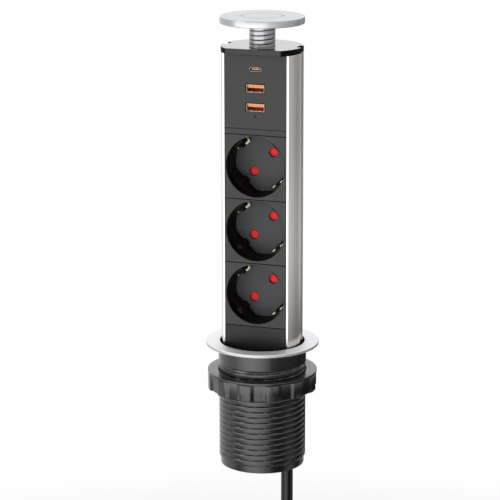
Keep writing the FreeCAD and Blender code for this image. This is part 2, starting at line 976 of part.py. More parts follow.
def socket_face(index):
    """Plate with the round recess, its flats and guide ribs, pin holes and earth openings."""
    number = index + 1
    high = spacer_low - socket_height * index
    low = high - socket_height
    z = high - socket_height / 2 + S.recess_rise
    front = -S.face_offset
    mouth = front + S.mouth_depth
    name = f"socket_{number}"
    cup = bore(name + "_cup", well_radius + S.recess_wall, front, floor_back, 0, z)
    solid = fuse(name + "_solid", *plate(name, low, high), cup)
    far = well_radius + 1
    well = common(
        name + "_well",
        bore(name + "_well_round", well_radius, mouth - 0.5, floor_front, 0, z),
        diagonal(
            group(
                name + "_flats",
                block(
                    name + "_flats_box",
                    (-flat_half, flat_half),
                    (mouth - 1, floor_front),
                    (-far, far),
                ),
            ),
            S.pin_angle,
            z,
        ),
    )
    rib = S.rib_width / 2
    reach = flat_half - S.rib_reach
    ribs = diagonal(
        fuse(
            name + "_ribs",
            block(name + "_rib_near", (reach, flat_half + 1), (mouth, floor_front), (-rib, rib)),
            block(name + "_rib_far", (-flat_half - 1, -reach), (mouth, floor_front), (-rib, rib)),
        ),
        S.pin_angle,
        z,
    )
    hollow = cut(name + "_hollow", well, ribs)
    tools = [
        bore(name + "_mouth", S.recess_radius, front - 1, mouth, 0, z),
        hollow,
        bore(name + "_pin_low", S.pin_hole, floor_front - 1, floor_back + 1, -pin_offset, z - pin_offset),
        bore(name + "_pin_high", S.pin_hole, floor_front - 1, floor_back + 1, pin_offset, z + pin_offset),
        side_slots(name + "_slots", front + S.earth_slot_front, floor_back + 1, z),
    ]
    return node(cut(f"socket_face_{number}", solid, *tools))


def socket_inside(index):
    """Shutter, carrier, pin contacts and earth springs of one socket."""
    number = index + 1
    z = socket_middle(index) + S.recess_rise
    name = f"inner_{number}"
    low = socket_middle(index) - carrier_half_height
    high = socket_middle(index) + carrier_half_height
    half = S.carrier_half_width
    pocket_back = floor_back + S.pocket_depth
    stub = fuse(
        name + "_solid",
        cut(
            name + "_block",
            block(name + "_box", (-half, half), (floor_back, carrier_back), (low, high)),
            bore(name + "_pocket", S.pocket_radius, floor_back - 1, pocket_back, 0, z),
        ),
        bore(name + "_stub", S.pivot_radius, floor_back, carrier_back, 0, z),
    )
    tools = [
        bore(name + "_way_low", S.passage_radius, floor_back, carrier_back + 1, -pin_offset,
             z - pin_offset),
        bore(name + "_way_high", S.passage_radius, floor_back, carrier_back + 1, pin_offset,
             z + pin_offset),
        side_slots(name + "_slots", floor_back - 1, carrier_back + 1, z),
    ]
    node(cut(f"contact_carrier_{number}", stub, *tools))

    contacts = []
    outer = S.passage_radius - S.fit_gap
    inner = outer - S.contact_wall
    for side, sign in (("low", -1), ("high", 1)):
        x = pin_offset * sign
        height = z + x
        front = pocket_back + S.slide_gap
        slit = S.contact_slit / 2
        contacts.append(
            cut(
                f"{name}_contact_{side}",
                bore(f"{name}_sleeve_{side}", outer, front, carrier_back, x, height),
                bore(f"{name}_sleeve_in_{side}", inner, front - 1, carrier_back + 1, x, height),
                block(
                    f"{name}_slit_{side}",
                    (x - slit, x + slit),
                    (front - 1, carrier_back - S.contact_wall),
                    (height, height + outer + 1),
                ),
            )
        )
    node(group(f"pin_contacts_{number}", *contacts))

    gap = (S.pocket_depth - S.shutter_thickness) / 2
    front = floor_back + gap
    back = front + S.shutter_thickness
    width = S.shutter_width / 2
    reach = S.shutter_reach
    bar = common(
        name + "_bar",
        bore(name + "_bar_round", reach, front, back),
        block(name + "_bar_box", (-reach, reach), (front, back), (-width, width)),
    )
    shutter = cut(
        f"shutter_{number}",
        fuse(name + "_rocker", bar, bore(name + "_hub", S.hub_radius, front, back)),
        bore(name + "_hub_hole", S.pivot_radius + S.fit_gap, front - 1, back + 1),
    )
    node(diagonal(shutter, S.pin_angle, z))
    return node(earth_clips(number, z))


def earth_clips(number, z):
    """One brass bow: a link across the back, two legs, and a slit spring folded back from each."""
    label = f"earth_clips_{number}"
    outside = earth_leg
    inside = outside - S.strip
    top = S.earth_front - S.face_offset
    nose = top + (floor_front - top) / 2
    end = floor_front - S.slide_gap
    fold = top + S.strip * 2
    right = [
        (outside, link_back),
        (outside, top),
        (inside, top),
        (earth_nose, nose),
        (earth_tail, end),
        (earth_tail + S.strip, end),
        (earth_nose + S.strip, nose),
        (inside, fold),
        (inside, link_front),
    ]
    left = [(-x, y) for x, y in reversed(right)]
    body = fresh("PartDesign::Body", label)
    pad = body.newObject("PartDesign::Pad", label + "_strip")
    pad.Profile = outline(body, label + "_profile", "XY_Plane", right + left)
    pad.SideType = "Symmetric"
    tie(pad, Length=S.earth_width)
    for side, sign in (("near", 1), ("far", -1)):
        slit = [
            (earth_nose * sign - sign, fold + 1),
            (inside * sign - S.fit_gap * sign, fold + 1),
            (inside * sign - S.fit_gap * sign, end + 1),
            (earth_nose * sign - sign, end + 1),
        ]
        cutter = body.newObject("PartDesign::Pocket", f"{label}_slit_{side}")
        cutter.Profile = outline(body, f"{label}_slit_outline_{side}", "XY_Plane", slit)
        cutter.SideType = "Symmetric"
        tie(cutter, Length=S.earth_slit)
    return diagonal(body, clip_angle, z)


def busbars():
    """Live and neutral strips behind the pins and the earth strip behind the links."""
    top = socket_middle(0) + S.bar_head
    low = socket_middle(SOCKETS - 1) - S.bar_tail
    half = S.bar_width / 2
    for label, sign in (("live_busbar", -1), ("neutral_busbar", 1)):
        x = pin_offset * sign
        bar = block(label + "_strip", (x - half, x + half), (carrier_back, bar_back), (low, top))
        holes = [
            bore(
                f"{label}_hole_{index + 1}",
                S.bar_hole,
                carrier_back - 1,
                bar_back + 1,
                x,
                socket_middle(index) + S.recess_rise + x,
            )
            for index in range(SOCKETS)
        ]
        node(cut(label, bar, *holes))
    half = S.earth_bar_width / 2
    depth = (link_back, link_back + S.bar_thickness)
    return node(block("earth_busbar", (-half, half), depth, (low, top)))


# Lid, post and spring

bush_inner = S.post_radius + S.fit_gap
bush_radius = bush_inner + S.bush_wall


def post_bush():
    top = end_cap_top
    flange = bush_radius + S.bush_flange
    corners = [
        (bush_inner, top),
        (bush_inner, mast_head - S.bush_rim),
        (flange, mast_head - S.bush_rim),
        (flange, mast_head),
        (bush_radius, mast_head),
        (bush_radius, top),
    ]
    return node(lathe("post_bush", corners))


def cap_post():
    """Post with a spigot for the lid at its top and a groove for the clip near its foot."""
    clip_top = mast_head - S.bush_rim - S.slide_gap
    clip_low = clip_top - S.clip_thickness
    groove = S.post_radius - S.clip_groove
    seat = cap_low + S.cap_floor + S.fit_gap
    corners = [
        (S.screw_radius, mast_head - S.post_tail + S.post_solid),
        (0, mast_head - S.post_tail + S.post_solid),
        (0, mast_head - S.post_tail),
        (S.post_radius, mast_head - S.post_tail),
        (S.post_radius, clip_low),
        (groove, clip_low),
        (groove, clip_top),
        (S.post_radius, clip_top),
        (S.post_radius, cap_low),
        (S.spigot_radius, cap_low),
        (S.spigot_radius, seat),
        (S.screw_radius, seat),
    ]
    return node(lathe("cap_post", corners))


def post_clip():
    top = mast_head - S.bush_rim - S.slide_gap
    low = top - S.clip_thickness
    inner = S.post_radius - S.clip_groove
    outer = S.post_radius + S.clip_reach
    ring = lathe("post_clip", [(inner, low), (outer, low), (outer, top), (inner, top)])
    width = S.clip_mouth / 2
    pocket(ring, "post_clip_mouth", "XY_Plane",
           [(0, -width), (outer + 1, -width), (outer + 1, width), (0, width)])
    return node(ring)


def cap_screw():
    seat = cap_low + S.cap_floor + S.fit_gap
    top = seat + S.screw_head
    corners = [
        (0, seat - S.screw_length),
        (S.screw_radius, seat - S.screw_length),
        (S.screw_radius, seat),
        (S.screw_head_radius, seat),
        (S.screw_head_radius, top),
        (0, top),
    ]
    return node(lathe("cap_screw", corners))


def pivot_bar(label, radius, near, far):
    """Round bar along X at the height of the grip's pivot."""
    bar = fresh("Part::Cylinder", label)
    bar.Placement = Placement(Vector(), Rotation(Vector(0, 1, 0), 90))
    return tie(bar, Radius=radius, Height=as_size(far) - near, x=near, z=cap_top - S.pin_depth)


def cap_disc():
    """Lid with a round well for the grip and two open notches for its pins."""
    well = S.grip_radius + S.grip_gap
    floor = cap_low + S.cap_floor
    bore_radius = S.spigot_radius + S.fit_gap
    edge = S.cap_edge
    corners = [
        (bore_radius, cap_low),
        (cap_radius - edge, cap_low),
        (cap_radius, cap_low + edge),
        (cap_radius, cap_top - edge),
        (cap_radius - edge, cap_top),
        (well, cap_top),
        (well, floor),
        (bore_radius, floor),
    ]
    disc = lathe("cap_disc_turned", corners)
    radius = S.pin_radius + S.pin_bore_gap
    far = S.grip_radius + S.pin_length / 2 + S.pin_bore_gap
    notches = fuse(
        "cap_notches",
        pivot_bar("cap_notch_round", radius, -far, far),
        block("cap_notch_open", (-far, far), (-radius, radius), (cap_top - S.pin_depth, cap_top + 1)),
    )
    return node(cut("cap_disc", disc, swing(notches, S.lid_turn, Vector(0, 0, 1))))


def grip():
    """Disc that rocks in the lid on two pins."""
    under = cap_top - S.grip_thickness
    near = S.grip_radius - S.pin_length / 2
    far = S.grip_radius + S.pin_length / 2
    disc = cut(
        "grip_disc",
        rod("grip_round", S.grip_radius, under, cap_top),
        fuse(
            "grip_holes",
            pivot_bar("grip_hole_right", S.pin_radius, near, far),
            pivot_bar("grip_hole_left", S.pin_radius, -far, -near),
        ),
    )
    node(swing(disc, S.lid_turn, Vector(0, 0, 1)))
    pins = group(
        "grip_pins",
        pivot_bar("grip_pin_right", S.pin_radius, near, far),
        pivot_bar("grip_pin_left", S.pin_radius, -far, -near),
    )
    return node(swing(pins, S.lid_turn, Vector(0, 0, 1)))


def cap_spring():
    """Compression spring with closer end turns, between the end cap and the lid."""
    wire = S.spring_wire.number
    low = end_cap_top.number + wire + S.fit_gap.number
    high = cap_low.number - wire - S.fit_gap.number
    closed = S.spring_end_turns.number
    free = S.spring_free_turns.number
    pitch = S.spring_end_pitch.number
    free_pitch = (high - low - 2 * closed * pitch) / free
    whole = 2 * closed + free

    def route(turn):
        angle = math.radians(S.spring_start.number) + 2 * math.pi * turn
        rise = pitch * min(turn, closed)
        rise += free_pitch * max(0, min(turn - closed, free))
        rise += pitch * max(0, turn - closed - free)
        radius = S.spring_radius.number
        return Vector(radius * math.cos(angle), radius * math.sin(angle), low + rise)

    return node(tube("cap_spring", stations_of(route, round(whole * 4)), wire))


# Cord, from the gland in the mast's foot to the plug


def cord_gland():
    """Strain relief: barrel in the foot cap, rim under it, and a tapered boot."""
    top = -S.mast_foot
    under = top - S.foot_cap_thickness
    rim = under - S.gland_rim
    end = under - S.gland_length
    inner = S.cord_radius + S.fit_gap
    corners = [
        (inner, top),
        (inner, end),
        (inner + S.gland_tip, end),
        (S.gland_barrel, rim),
        (S.gland_radius, rim),
        (S.gland_radius, under),
        (S.gland_barrel, under),
        (S.gland_barrel, top),
    ]
    return node(tie(lathe("cord_gland", corners), x=S.cord_x, y=S.cord_y))


def cord_clamp():
    low = -S.mast_foot
    high = low + S.clamp_height
    saddle = block(
        "cord_clamp_saddle",
        (S.cord_x - S.clamp_in, S.cord_x + S.clamp_out),
        (S.cord_y - S.clamp_half, S.cord_y + S.clamp_half),
        (low, high),
    )
    way = rod("cord_clamp_way", S.cord_radius + S.fit_gap, low - 1, high + 1, S.cord_x, S.cord_y)
    return node(cut("cord_clamp", saddle, way))


gland_end = -(S.mast_foot + S.foot_cap_thickness + S.gland_length)
drop_end = -S.drop_foot
coil_height = drop_end - S.bend_radius
tie_inset = S.tie_strap + S.tie_gap
floor_height = coil_height - S.cord_radius - tie_inset
plug_axis = floor_height + S.plug_radius


def cord_lengths():
    """The stub in the mast, the straight drop, and the bend to the floor."""
    top = -S.mast_foot + S.clamp_height + S.stub_length
    node(rod("cord_entry", S.cord_radius, gland_end, top, S.cord_x, S.cord_y))
    node(rod("cord_drop", S.cord_radius, drop_end, gland_end, S.cord_x, S.cord_y))
    x, y = S.cord_x.number, S.cord_y.number
    radius = S.bend_radius.number
    down, left = Vector(0, 0, -1), Vector(-1, 0, 0)
    foot = Vector(x - radius, y, coil_height.number)
    stations = [
        (Vector(x, y, drop_end.number), down),
        (foot, left),
        (foot + left * S.coil_lead.number, left),
    ]
    return node(tube("cord_bend", stations, S.cord_radius.number))


def coil_route(turn):
    """In for two turns, up a layer in half a turn, and out again for two."""
    start = S.coil_start_radius.number
    step = S.coil_step.number
    rise = min(max((turn - COIL_TURNS) * 2, 0), 1)
    radius = start - step * min(turn, COIL_TURNS) + step * max(turn - COIL_TURNS - 0.5, 0)
    radius -= S.coil_dip.number * math.sin(math.pi * rise) ** 2
    height = coil_height.number + S.coil_layer.number * rise * rise * (3 - 2 * rise)
    angle = math.radians(-90) - 2 * math.pi * turn
    return Vector(
        coil_x.number + radius * math.cos(angle),
        coil_y.number + radius * math.sin(angle),
        height,
    )


coil_x = S.cord_x - S.bend_radius - S.coil_lead * 2
coil_y = S.cord_y + S.coil_start_radius
tail_start = coil_x + S.coil_lead
tail_finish = tail_start + S.tail_run
tail_y = coil_y + S.coil_start_radius


def cord_coil():
    """The coil with a straight lead in, and the tail that rises to the plug's boot."""
    left, right = Vector(-1, 0, 0), Vector(1, 0, 0)
    lead = S.coil_lead.number
    stations = stations_of(coil_route, round((2 * COIL_TURNS + 0.5) * 4))
    stations[0] = (stations[0][0], left)
    stations[-1] = (stations[-1][0], right)
    begin = (stations[0][0] - left * lead, left)
    out = (stations[-1][0] + right * lead, right)
    rise = Vector(S.tail_run.number, 0, plug_axis.number - out[0].z)
    arrive = (out[0] + rise, right)
    finish = (arrive[0] + right * lead, right)
    return node(tube("cord_coil", [begin, *stations, out, arrive, finish], S.cord_radius.number))


def cord_tie():
    """Flat strap round the two layers, on the side where the loops lie one over the other."""
    half = S.tie_width / 2
    outer = S.coil_start_radius - S.coil_step * 0.75 + S.cord_radius + tie_inset
    inner = S.coil_start_radius - S.coil_step * 1.75 - S.cord_radius - tie_inset
    top = coil_height + S.coil_layer + S.cord_radius + tie_inset
    strap = S.tie_strap
    width = (coil_y - half, coil_y + half)
    return node(
        cut(
            "cord_tie",
            block("cord_tie_out", (coil_x + inner, coil_x + outer), width, (floor_height, top)),
            block(
                "cord_tie_in",
                (coil_x + inner + strap, coil_x + outer - strap),
                (coil_y - half - 1, coil_y + half + 1),
                (floor_height + strap, top - strap),
            ),
        )
    )


def lie_along_x(thing, x):
    """Lays a piece made about Z on its side, pointing along X at the plug's height."""
    thing.Placement = Placement(Vector(), Rotation(Vector(0, 1, 0), 90))
    return tie(thing, x=x, y=tail_y, z=plug_axis)


def plug():
    """Earthed plug on its side: boot and grip, round face part with flats, pins, earth strips."""
    back = tail_finish + S.coil_lead
    face = S.boot_length + S.plug_grip + S.plug_face
    edge = S.plug_edge
    waist = S.boot_length + S.plug_grip
    corners = [
        (0, 0),
        (S.boot_tip, 0),
        (S.boot_radius, S.boot_length),
        (S.plug_grip_radius - edge, S.boot_length),
        (S.plug_grip_radius, S.boot_length + edge),
        (S.plug_grip_radius, waist),
        (S.plug_radius, waist),
        (S.plug_radius, face - edge),
        (S.plug_radius - edge, face),
        (0, face),
    ]
    turned = lathe("plug_turned", corners)
    far = S.plug_radius + 1
    side = S.earth_strip_width / 2
    deep = S.plug_radius - S.strip
    tools = [
        block("plug_flat_near", (-far, far), (S.plug_flat, far), (waist, face + 1)),
        block("plug_flat_far", (-far, far), (-far, -S.plug_flat), (waist, face + 1)),
        block("plug_seat_top", (deep, far), (-side, side), (waist + edge, face + 1)),
        block("plug_seat_low", (-far, -deep), (-side, side), (waist + edge, face + 1)),
    ]
    node(lie_along_x(cut("plug_body", turned, *tools), back))
    spot = S.pin_spacing / 2
    tip = face + S.plug_pin_length
    pins = group(
        "plug_pins",
        rod("plug_pin_near", S.plug_pin_radius, face, tip, 0, spot),
        rod("plug_pin_far", S.plug_pin_radius, face, tip, 0, -spot),
    )
    node(lie_along_x(pins, back))
    skin = deep + S.strip / 2
    strips = group(
        "plug_earths",
        block("plug_earth_top", (deep, skin), (-side, side), (waist + edge, face - edge)),
        block("plug_earth_low", (-skin, -deep), (-side, side), (waist + edge, face - edge)),
    )
    return node(lie_along_x(strips, back))


flange_ring()
flange_gasket()
threaded_sleeve()
guide_ring()
clamp_washer()
clamp_nut()
mast_profile()
top_end_cap()
bottom_end_cap()
end_screws()
stop_blocks()
usb_face()
usb_a_port(0)
usb_a_port(1)
usb_c_port()
usb_inside()
plain_covers()
for place in range(SOCKETS):
    socket_face(place)
    socket_inside(place)
busbars()
post_bush()
cap_post()
post_clip()
cap_screw()
cap_disc()
grip()
cap_spring()
cord_gland()
cord_clamp()
cord_lengths()
cord_coil()
cord_tie()
plug()
doc.recompute()

faults = [
    thing.Label
    for thing in doc.Objects
    if "Invalid" in thing.State or "Error" in thing.State
]
for name, thing in NODES.items():
    shape = thing.Shape
    if shape.isNull() or not shape.isValid() or not shape.Solids:
        faults.append(name)
if faults:
    raise RuntimeError("These pieces failed: " + ", ".join(faults))

os.makedirs("parts", exist_ok=True)
for name, thing in NODES.items():
    thing.Shape.exportStep(f"parts/{name}.step")
print(f"{len(NODES)} pieces")
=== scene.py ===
# %% [markdown]
# # A socket tower that pulls up out of a worktop
# The imported model is a fixed frame: every CAD piece is already in its place, in metres. Around it this
# lesson makes the surfaces that the eye sees, and gives each one its finish. The box of the whole object
# is kept straight after loading, and the floor lies at its lowest point.

# %% Load the frame
import json
import math

import bmesh
import bpy
import numpy as np
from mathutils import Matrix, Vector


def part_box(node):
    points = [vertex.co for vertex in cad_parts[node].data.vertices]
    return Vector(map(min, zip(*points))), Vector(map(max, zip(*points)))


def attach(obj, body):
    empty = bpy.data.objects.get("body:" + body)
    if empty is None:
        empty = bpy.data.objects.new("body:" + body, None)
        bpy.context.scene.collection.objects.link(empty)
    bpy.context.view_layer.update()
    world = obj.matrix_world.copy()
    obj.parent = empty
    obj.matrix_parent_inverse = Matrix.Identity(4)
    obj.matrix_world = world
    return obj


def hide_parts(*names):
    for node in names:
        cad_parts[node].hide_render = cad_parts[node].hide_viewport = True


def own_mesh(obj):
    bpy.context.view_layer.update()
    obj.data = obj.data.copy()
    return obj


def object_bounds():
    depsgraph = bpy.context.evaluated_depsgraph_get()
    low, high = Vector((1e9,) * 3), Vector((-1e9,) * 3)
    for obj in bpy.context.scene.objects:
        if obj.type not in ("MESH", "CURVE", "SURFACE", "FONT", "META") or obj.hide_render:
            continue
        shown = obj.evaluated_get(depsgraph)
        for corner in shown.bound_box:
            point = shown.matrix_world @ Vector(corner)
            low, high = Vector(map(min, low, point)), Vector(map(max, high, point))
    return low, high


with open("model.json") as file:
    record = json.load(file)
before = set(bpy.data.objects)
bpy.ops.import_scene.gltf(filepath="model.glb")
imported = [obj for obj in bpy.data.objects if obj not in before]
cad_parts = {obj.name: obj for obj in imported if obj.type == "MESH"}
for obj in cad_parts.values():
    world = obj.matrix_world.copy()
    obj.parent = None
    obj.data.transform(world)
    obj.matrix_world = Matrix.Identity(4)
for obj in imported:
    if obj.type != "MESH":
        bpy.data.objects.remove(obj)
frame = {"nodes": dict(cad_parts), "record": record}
cad_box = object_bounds()
NODES = frame["nodes"]
scene = bpy.context.scene

# %% [markdown]
# ## The camera
# The photograph was taken with a long lens, from a little above and from the right of the flat front.
# A long lens keeps the sides of the tower almost parallel. The small shift is what centres the picture.

# %% Camera
lens = bpy.data.cameras.new("photo_camera")
lens.lens = 159.1
lens.sensor_width = 36.0
lens.shift_x = -0.0259
lens.shift_y = -0.0061
lens.clip_end = 60.0
camera = bpy.data.objects.new("photo_camera", lens)
camera.location = (0.4559, -1.3565, 0.4264)
camera.rotation_euler = (math.radians(90 - 14.127), 0.0, math.radians(18.56))
scene.collection.objects.link(camera)
scene.camera = camera
print("camera at", tuple(camera.location), "lens", lens.lens)

# %% [markdown]
# ## Small tools for materials
# A colour is written as the hex value that a paint program shows. Shaders count light in linear
# numbers, so one function turns the one into the other. Another function adds a single shader node,
# with its settings and its links, and every material below is built with it.

# %% Colour and node helpers
def linear(hex_text):
    """Linear red, green, blue of an sRGB hex text. Below 0.04045 the curve is a straight line, value
    over 12.92, and above it the power 2.4 of value plus 0.055, over 1.055."""
    part = np.array([int(hex_text[i:i + 2], 16) for i in (1, 3, 5)]) / 255.0
    low = part / 12.92
    high = ((part + 0.055) / 1.055) ** 2.4
    return (*np.where(part <= 0.04045, low, high).tolist(), 1.0)


def add(tree, kind, settings=None, links=None):
    """Adds one node. Settings are its own properties, links fill its inputs, by name or number, from
    another node's output or from a plain value."""
    made = tree.nodes.new(kind)
    for key, value in (settings or {}).items():
        setattr(made, key, value)
    for key, value in (links or {}).items():
        if isinstance(value, bpy.types.NodeSocket):
            tree.links.new(value, made.inputs[key])
        else:
            made.inputs[key].default_value = value
    return made


def new_finish(name, colour, roughness, metallic=0.0, **more):
    """A material with one Principled shader, and its tree, shader and Object coordinates."""
    finish = bpy.data.materials.new(name)
    finish.use_nodes = True
    tree = finish.node_tree
    shader = tree.nodes["Principled BSDF"]
    shader.inputs["Base Color"].default_value = linear(colour)
    shader.inputs["Roughness"].default_value = roughness
    shader.inputs["Metallic"].default_value = metallic
    for key, value in more.items():
        shader.inputs[key.replace("_", " ")].default_value = value
    place = add(tree, "ShaderNodeTexCoord").outputs["Object"]
    return finish, tree, shader, place


def grain(tree, shader, place, size, colours, rough, height=0.0, stretch=(1, 1, 1), detail=3.0):
    """Noise whose spots are about size millimetres. It runs the base colour from the first to the
    second, the roughness from low to high, and lifts the surface by height millimetres."""
    scaled = add(tree, "ShaderNodeMapping", None, {"Vector": place, "Scale": stretch})
    noise = add(tree, "ShaderNodeTexNoise", None,
                {"Vector": scaled.outputs[0], "Scale": 1000.0 / size, "Detail": detail})
    level = noise.outputs[0]
    blend = add(tree, "ShaderNodeMix", {"data_type": "RGBA"},
                {0: level, 6: linear(colours[0]), 7: linear(colours[1])})
    tree.links.new(blend.outputs[2], shader.inputs["Base Color"])
    span = add(tree, "ShaderNodeMapRange", None,
               {"Value": level, "From Min": 0.3, "From Max": 0.7, "To Min": rough[0], "To Max": rough[1]})
    tree.links.new(span.outputs[0], shader.inputs["Roughness"])
    if height:
        lift = add(tree, "ShaderNodeBump", None, {"Height": level, "Distance": height * 0.001})
        tree.links.new(lift.outputs[0], shader.inputs["Normal"])


def grained(name, colour, roughness, metallic, size, colours, rough, height=0.0, stretch=(1, 1, 1), detail=3.0,
            **more):
    """A whole finish in one call: a Principled shader, as new_finish makes it, with grain over it."""
    finish, tree, shader, place = new_finish(name, colour, roughness, metallic, **more)
    grain(tree, shader, place, size, colours, rough, height, stretch, detail)
    return finish


def wear(piece, finish):
    """Gives a piece one finish in all its slots."""
    piece.data.materials.clear()
    piece.data.materials.append(finish)
    return piece

# %% [markdown]
# ## Small tools for shapes
# A surface here is a grid of points worked out all at once: rows run along the piece and columns run
# round it. A turned part is a closed outline of radius and height that goes once round its axis. Real
# edges are never sharp, so each corner of an outline is cut back and bridged with a small curve.

# %% Shape helpers
def grid_piece(name, points, close_across=False, close_along=False):
    """A mesh from a grid of points, where neighbours share one quad. A closed direction joins its last
    line to its first."""
    rows, columns = points.shape[:2]
    down = np.arange(rows if close_along else rows - 1)
    over = np.arange(columns if close_across else columns - 1)
    i, j = np.meshgrid(down, over, indexing="ij")
    k, n = (i + 1) % rows, (j + 1) % columns
    quads = np.stack([i * columns + j, i * columns + n, k * columns + n, k * columns + j], -1)
    mesh = bpy.data.meshes.new(name)
    mesh.from_pydata(points.reshape(-1, 3).tolist(), [], quads.reshape(-1, 4).tolist())
    piece = bpy.data.objects.new(name, mesh)
    scene.collection.objects.link(piece)
    return piece


def weld(piece, reach=1e-7):
    """Merges points that lie on each other and turns all faces outwards."""
    work = bmesh.new()
    work.from_mesh(piece.data)
    bmesh.ops.remove_doubles(work, verts=work.verts, dist=reach)
    bmesh.ops.dissolve_degenerate(work, edges=work.edges, dist=reach)
    bmesh.ops.recalc_face_normals(work, faces=work.faces)
    work.to_mesh(piece.data)
    work.free()
    return piece


def smooth(piece, degrees=35):
    """Smooth shading, except over edges that turn by more than the angle."""
    piece.data.shade_smooth()
    piece.data.set_sharp_from_angle(angle=math.radians(degrees))
    return piece


def rounded(corners, steps=5):
    """An outline of (radius, height, cut) in millimetres. Each corner with a cut becomes the curve
    (1-t)^2 before + 2t(1-t) corner + t^2 after, from cut before the corner to cut after it."""
    corner = np.array([c[:2] for c in corners], float)
    t = np.linspace(0, 1, steps)[:, None]
    made = []
    for i, (_, _, back) in enumerate(corners):
        here, before, after = corner[i], corner[i - 1], corner[(i + 1) % len(corner)]
        if back == 0:
            made.append(here[None])
            continue
        first = here + (before - here) * back / np.linalg.norm(before - here)
        last = here + (after - here) * back / np.linalg.norm(after - here)
        made.append((1 - t) ** 2 * first + 2 * t * (1 - t) * here + t ** 2 * last)
    return np.concatenate(made)


def turned(name, profile, around=144, centre=(0.0, 0.0), degrees=35):
    """A closed outline of radius and height in millimetres, turned once round an upright axis: x is
    radius times cosine, y is radius times sine."""
    angle = np.linspace(0, 2 * np.pi, around, endpoint=False)
    radius, height = profile[:, :1], profile[:, 1:]
    points = np.stack([centre[0] + radius * np.cos(angle), centre[1] + radius * np.sin(angle),
                       height + 0 * angle], -1) * 0.001
    return smooth(weld(grid_piece(name, points, close_across=True, close_along=True)), degrees)


def edged_copy(node, name, width=0.25, segments=2, change=None):
    """A copy of a CAD node with its triangles merged into flat faces, and a small bevel, in
    millimetres, on every edge that turns by more than 40 degrees. Change may alter the merged mesh."""
    piece = NODES[node].copy()
    piece.data = NODES[node].data.copy()
    piece.name = piece.data.name = name
    piece.parent = None
    for key in list(piece.keys()):
        del piece[key]
    scene.collection.objects.link(piece)
    work = bmesh.new()
    work.from_mesh(piece.data)
    bmesh.ops.remove_doubles(work, verts=work.verts, dist=2e-6)
    if change:
        change(work)
    bmesh.ops.dissolve_limit(work, angle_limit=math.radians(1.0), verts=work.verts, edges=work.edges)
    work.to_mesh(piece.data)
    work.free()
    smooth(piece, 30)
    bevel = piece.modifiers.new("worn_edges", "BEVEL")
    bevel.width = width * 0.001
    bevel.segments = segments
    bevel.limit_method = "ANGLE"
    bevel.angle_limit = math.radians(40)
    bevel.use_clamp_overlap = False
    bevel.harden_normals = True
    return piece

# %% [markdown]
# ## Floor and studio light
# The object hangs in a worktop that isn't part of it, so the floor lies where the coiled cord rests.
# The floor is pale and matt. Far from the object it gives off plain white, as a photographer's paper
# sweep does, and near the object it is lit like anything else, so it keeps the shadow.

# %% Floor
FLOOR_Z = cad_box[0][2]
FLOOR_HALF = 9.0
across, along = np.meshgrid((-FLOOR_HALF, FLOOR_HALF), (-FLOOR_HALF, FLOOR_HALF))
floor = grid_piece("studio_floor", np.stack([across, along, np.full_like(across, FLOOR_Z)], -1))


def background_rays(tree):
    """One for the rays that camera, gloss and glass send out, and none for plain lighting."""
    ray = add(tree, "ShaderNodeLightPath")
    first = add(tree, "ShaderNodeMath", {"operation": "ADD", "use_clamp": True},
                {0: ray.outputs["Is Camera Ray"], 1: ray.outputs["Is Glossy Ray"]})
    return add(tree, "ShaderNodeMath", {"operation": "ADD", "use_clamp": True},
               {0: first.outputs[0], 1: ray.outputs["Is Transmission Ray"]}).outputs[0]


paper, tree, shader, place = new_finish("matt_paper_sweep", "#F0F0EF", 0.9, Specular_IOR_Level=0.1)
reach = add(tree, "ShaderNodeVectorMath", {"operation": "LENGTH"}, {0: place})
fade = add(tree, "ShaderNodeMapRange", {"interpolation_type": "SMOOTHSTEP"},
           {"Value": reach.outputs["Value"], "From Min": 0.3, "From Max": 0.8})
amount = add(tree, "ShaderNodeMath", {"operation": "MULTIPLY"},
             {0: fade.outputs[0], 1: background_rays(tree)})
glow = add(tree, "ShaderNodeEmission", None, {"Color": (1, 1, 1, 1), "Strength": 1.0})
mixed = add(tree, "ShaderNodeMixShader", None,
            {0: amount.outputs[0], 1: shader.outputs[0], 2: glow.outputs[0]})
tree.links.new(mixed.outputs[0], tree.nodes["Material Output"].inputs["Surface"])
wear(floor, paper)
print("floor at", FLOOR_Z)

# %% Studio light
scene.view_settings.view_transform = "Standard"
world = bpy.data.worlds.new("pale_studio")
scene.world = world
world.use_nodes = True
tree = world.node_tree
power = add(tree, "ShaderNodeMapRange", None, {"Value": background_rays(tree), "To Min": 0.45, "To Max": 1.0})
tree.links.new(power.outputs[0], tree.nodes["Background"].inputs["Strength"])
tree.nodes["Background"].inputs["Color"].default_value = (1, 1, 1, 1)


def softbox(name, spot, aim, width, height, radiance):
    """A rectangular lamp that looks from a spot at a point. Its watts are radiance times pi times its
    area. A mirror shows that radiance on top of what lies behind the lamp."""
    lamp = bpy.data.lights.new(name, "AREA")
    lamp.shape = "RECTANGLE"
    lamp.size, lamp.size_y = width, height
    lamp.energy = radiance * math.pi * width * height
    holder = bpy.data.objects.new(name, lamp)
    scene.collection.objects.link(holder)
    holder.location = spot
    toward = np.array(spot, float) - np.array(aim, float)
    holder.rotation_euler = (math.atan2(math.hypot(toward[0], toward[1]), toward[2]), 0.0,
                             math.atan2(toward[0], -toward[1]))
    holder.visible_camera = False
    return lamp


softbox("left_softbox", (-1.5, -1.5, 1.3), (0, 0, 0.05), 1.2, 1.4, 2.2)
softbox("low_front_softbox", (-0.235, -0.92, -0.075), (0, 0, -0.075), 2.0, 0.52, 1.65)
softbox("back_softbox", (-0.78, 2.35, 0.85), (0, 0, 0.15), 2.4, 1.2, 0.35)

# %% [markdown]
# Metal shows what stands round it, and with white on all sides it would look flat. Photographers stand
# a grey card beside it, out of the picture, so that its round sides darken towards one edge. The card
# is part of a round wall, and its tone goes from white at the front to dark at the side and up again.

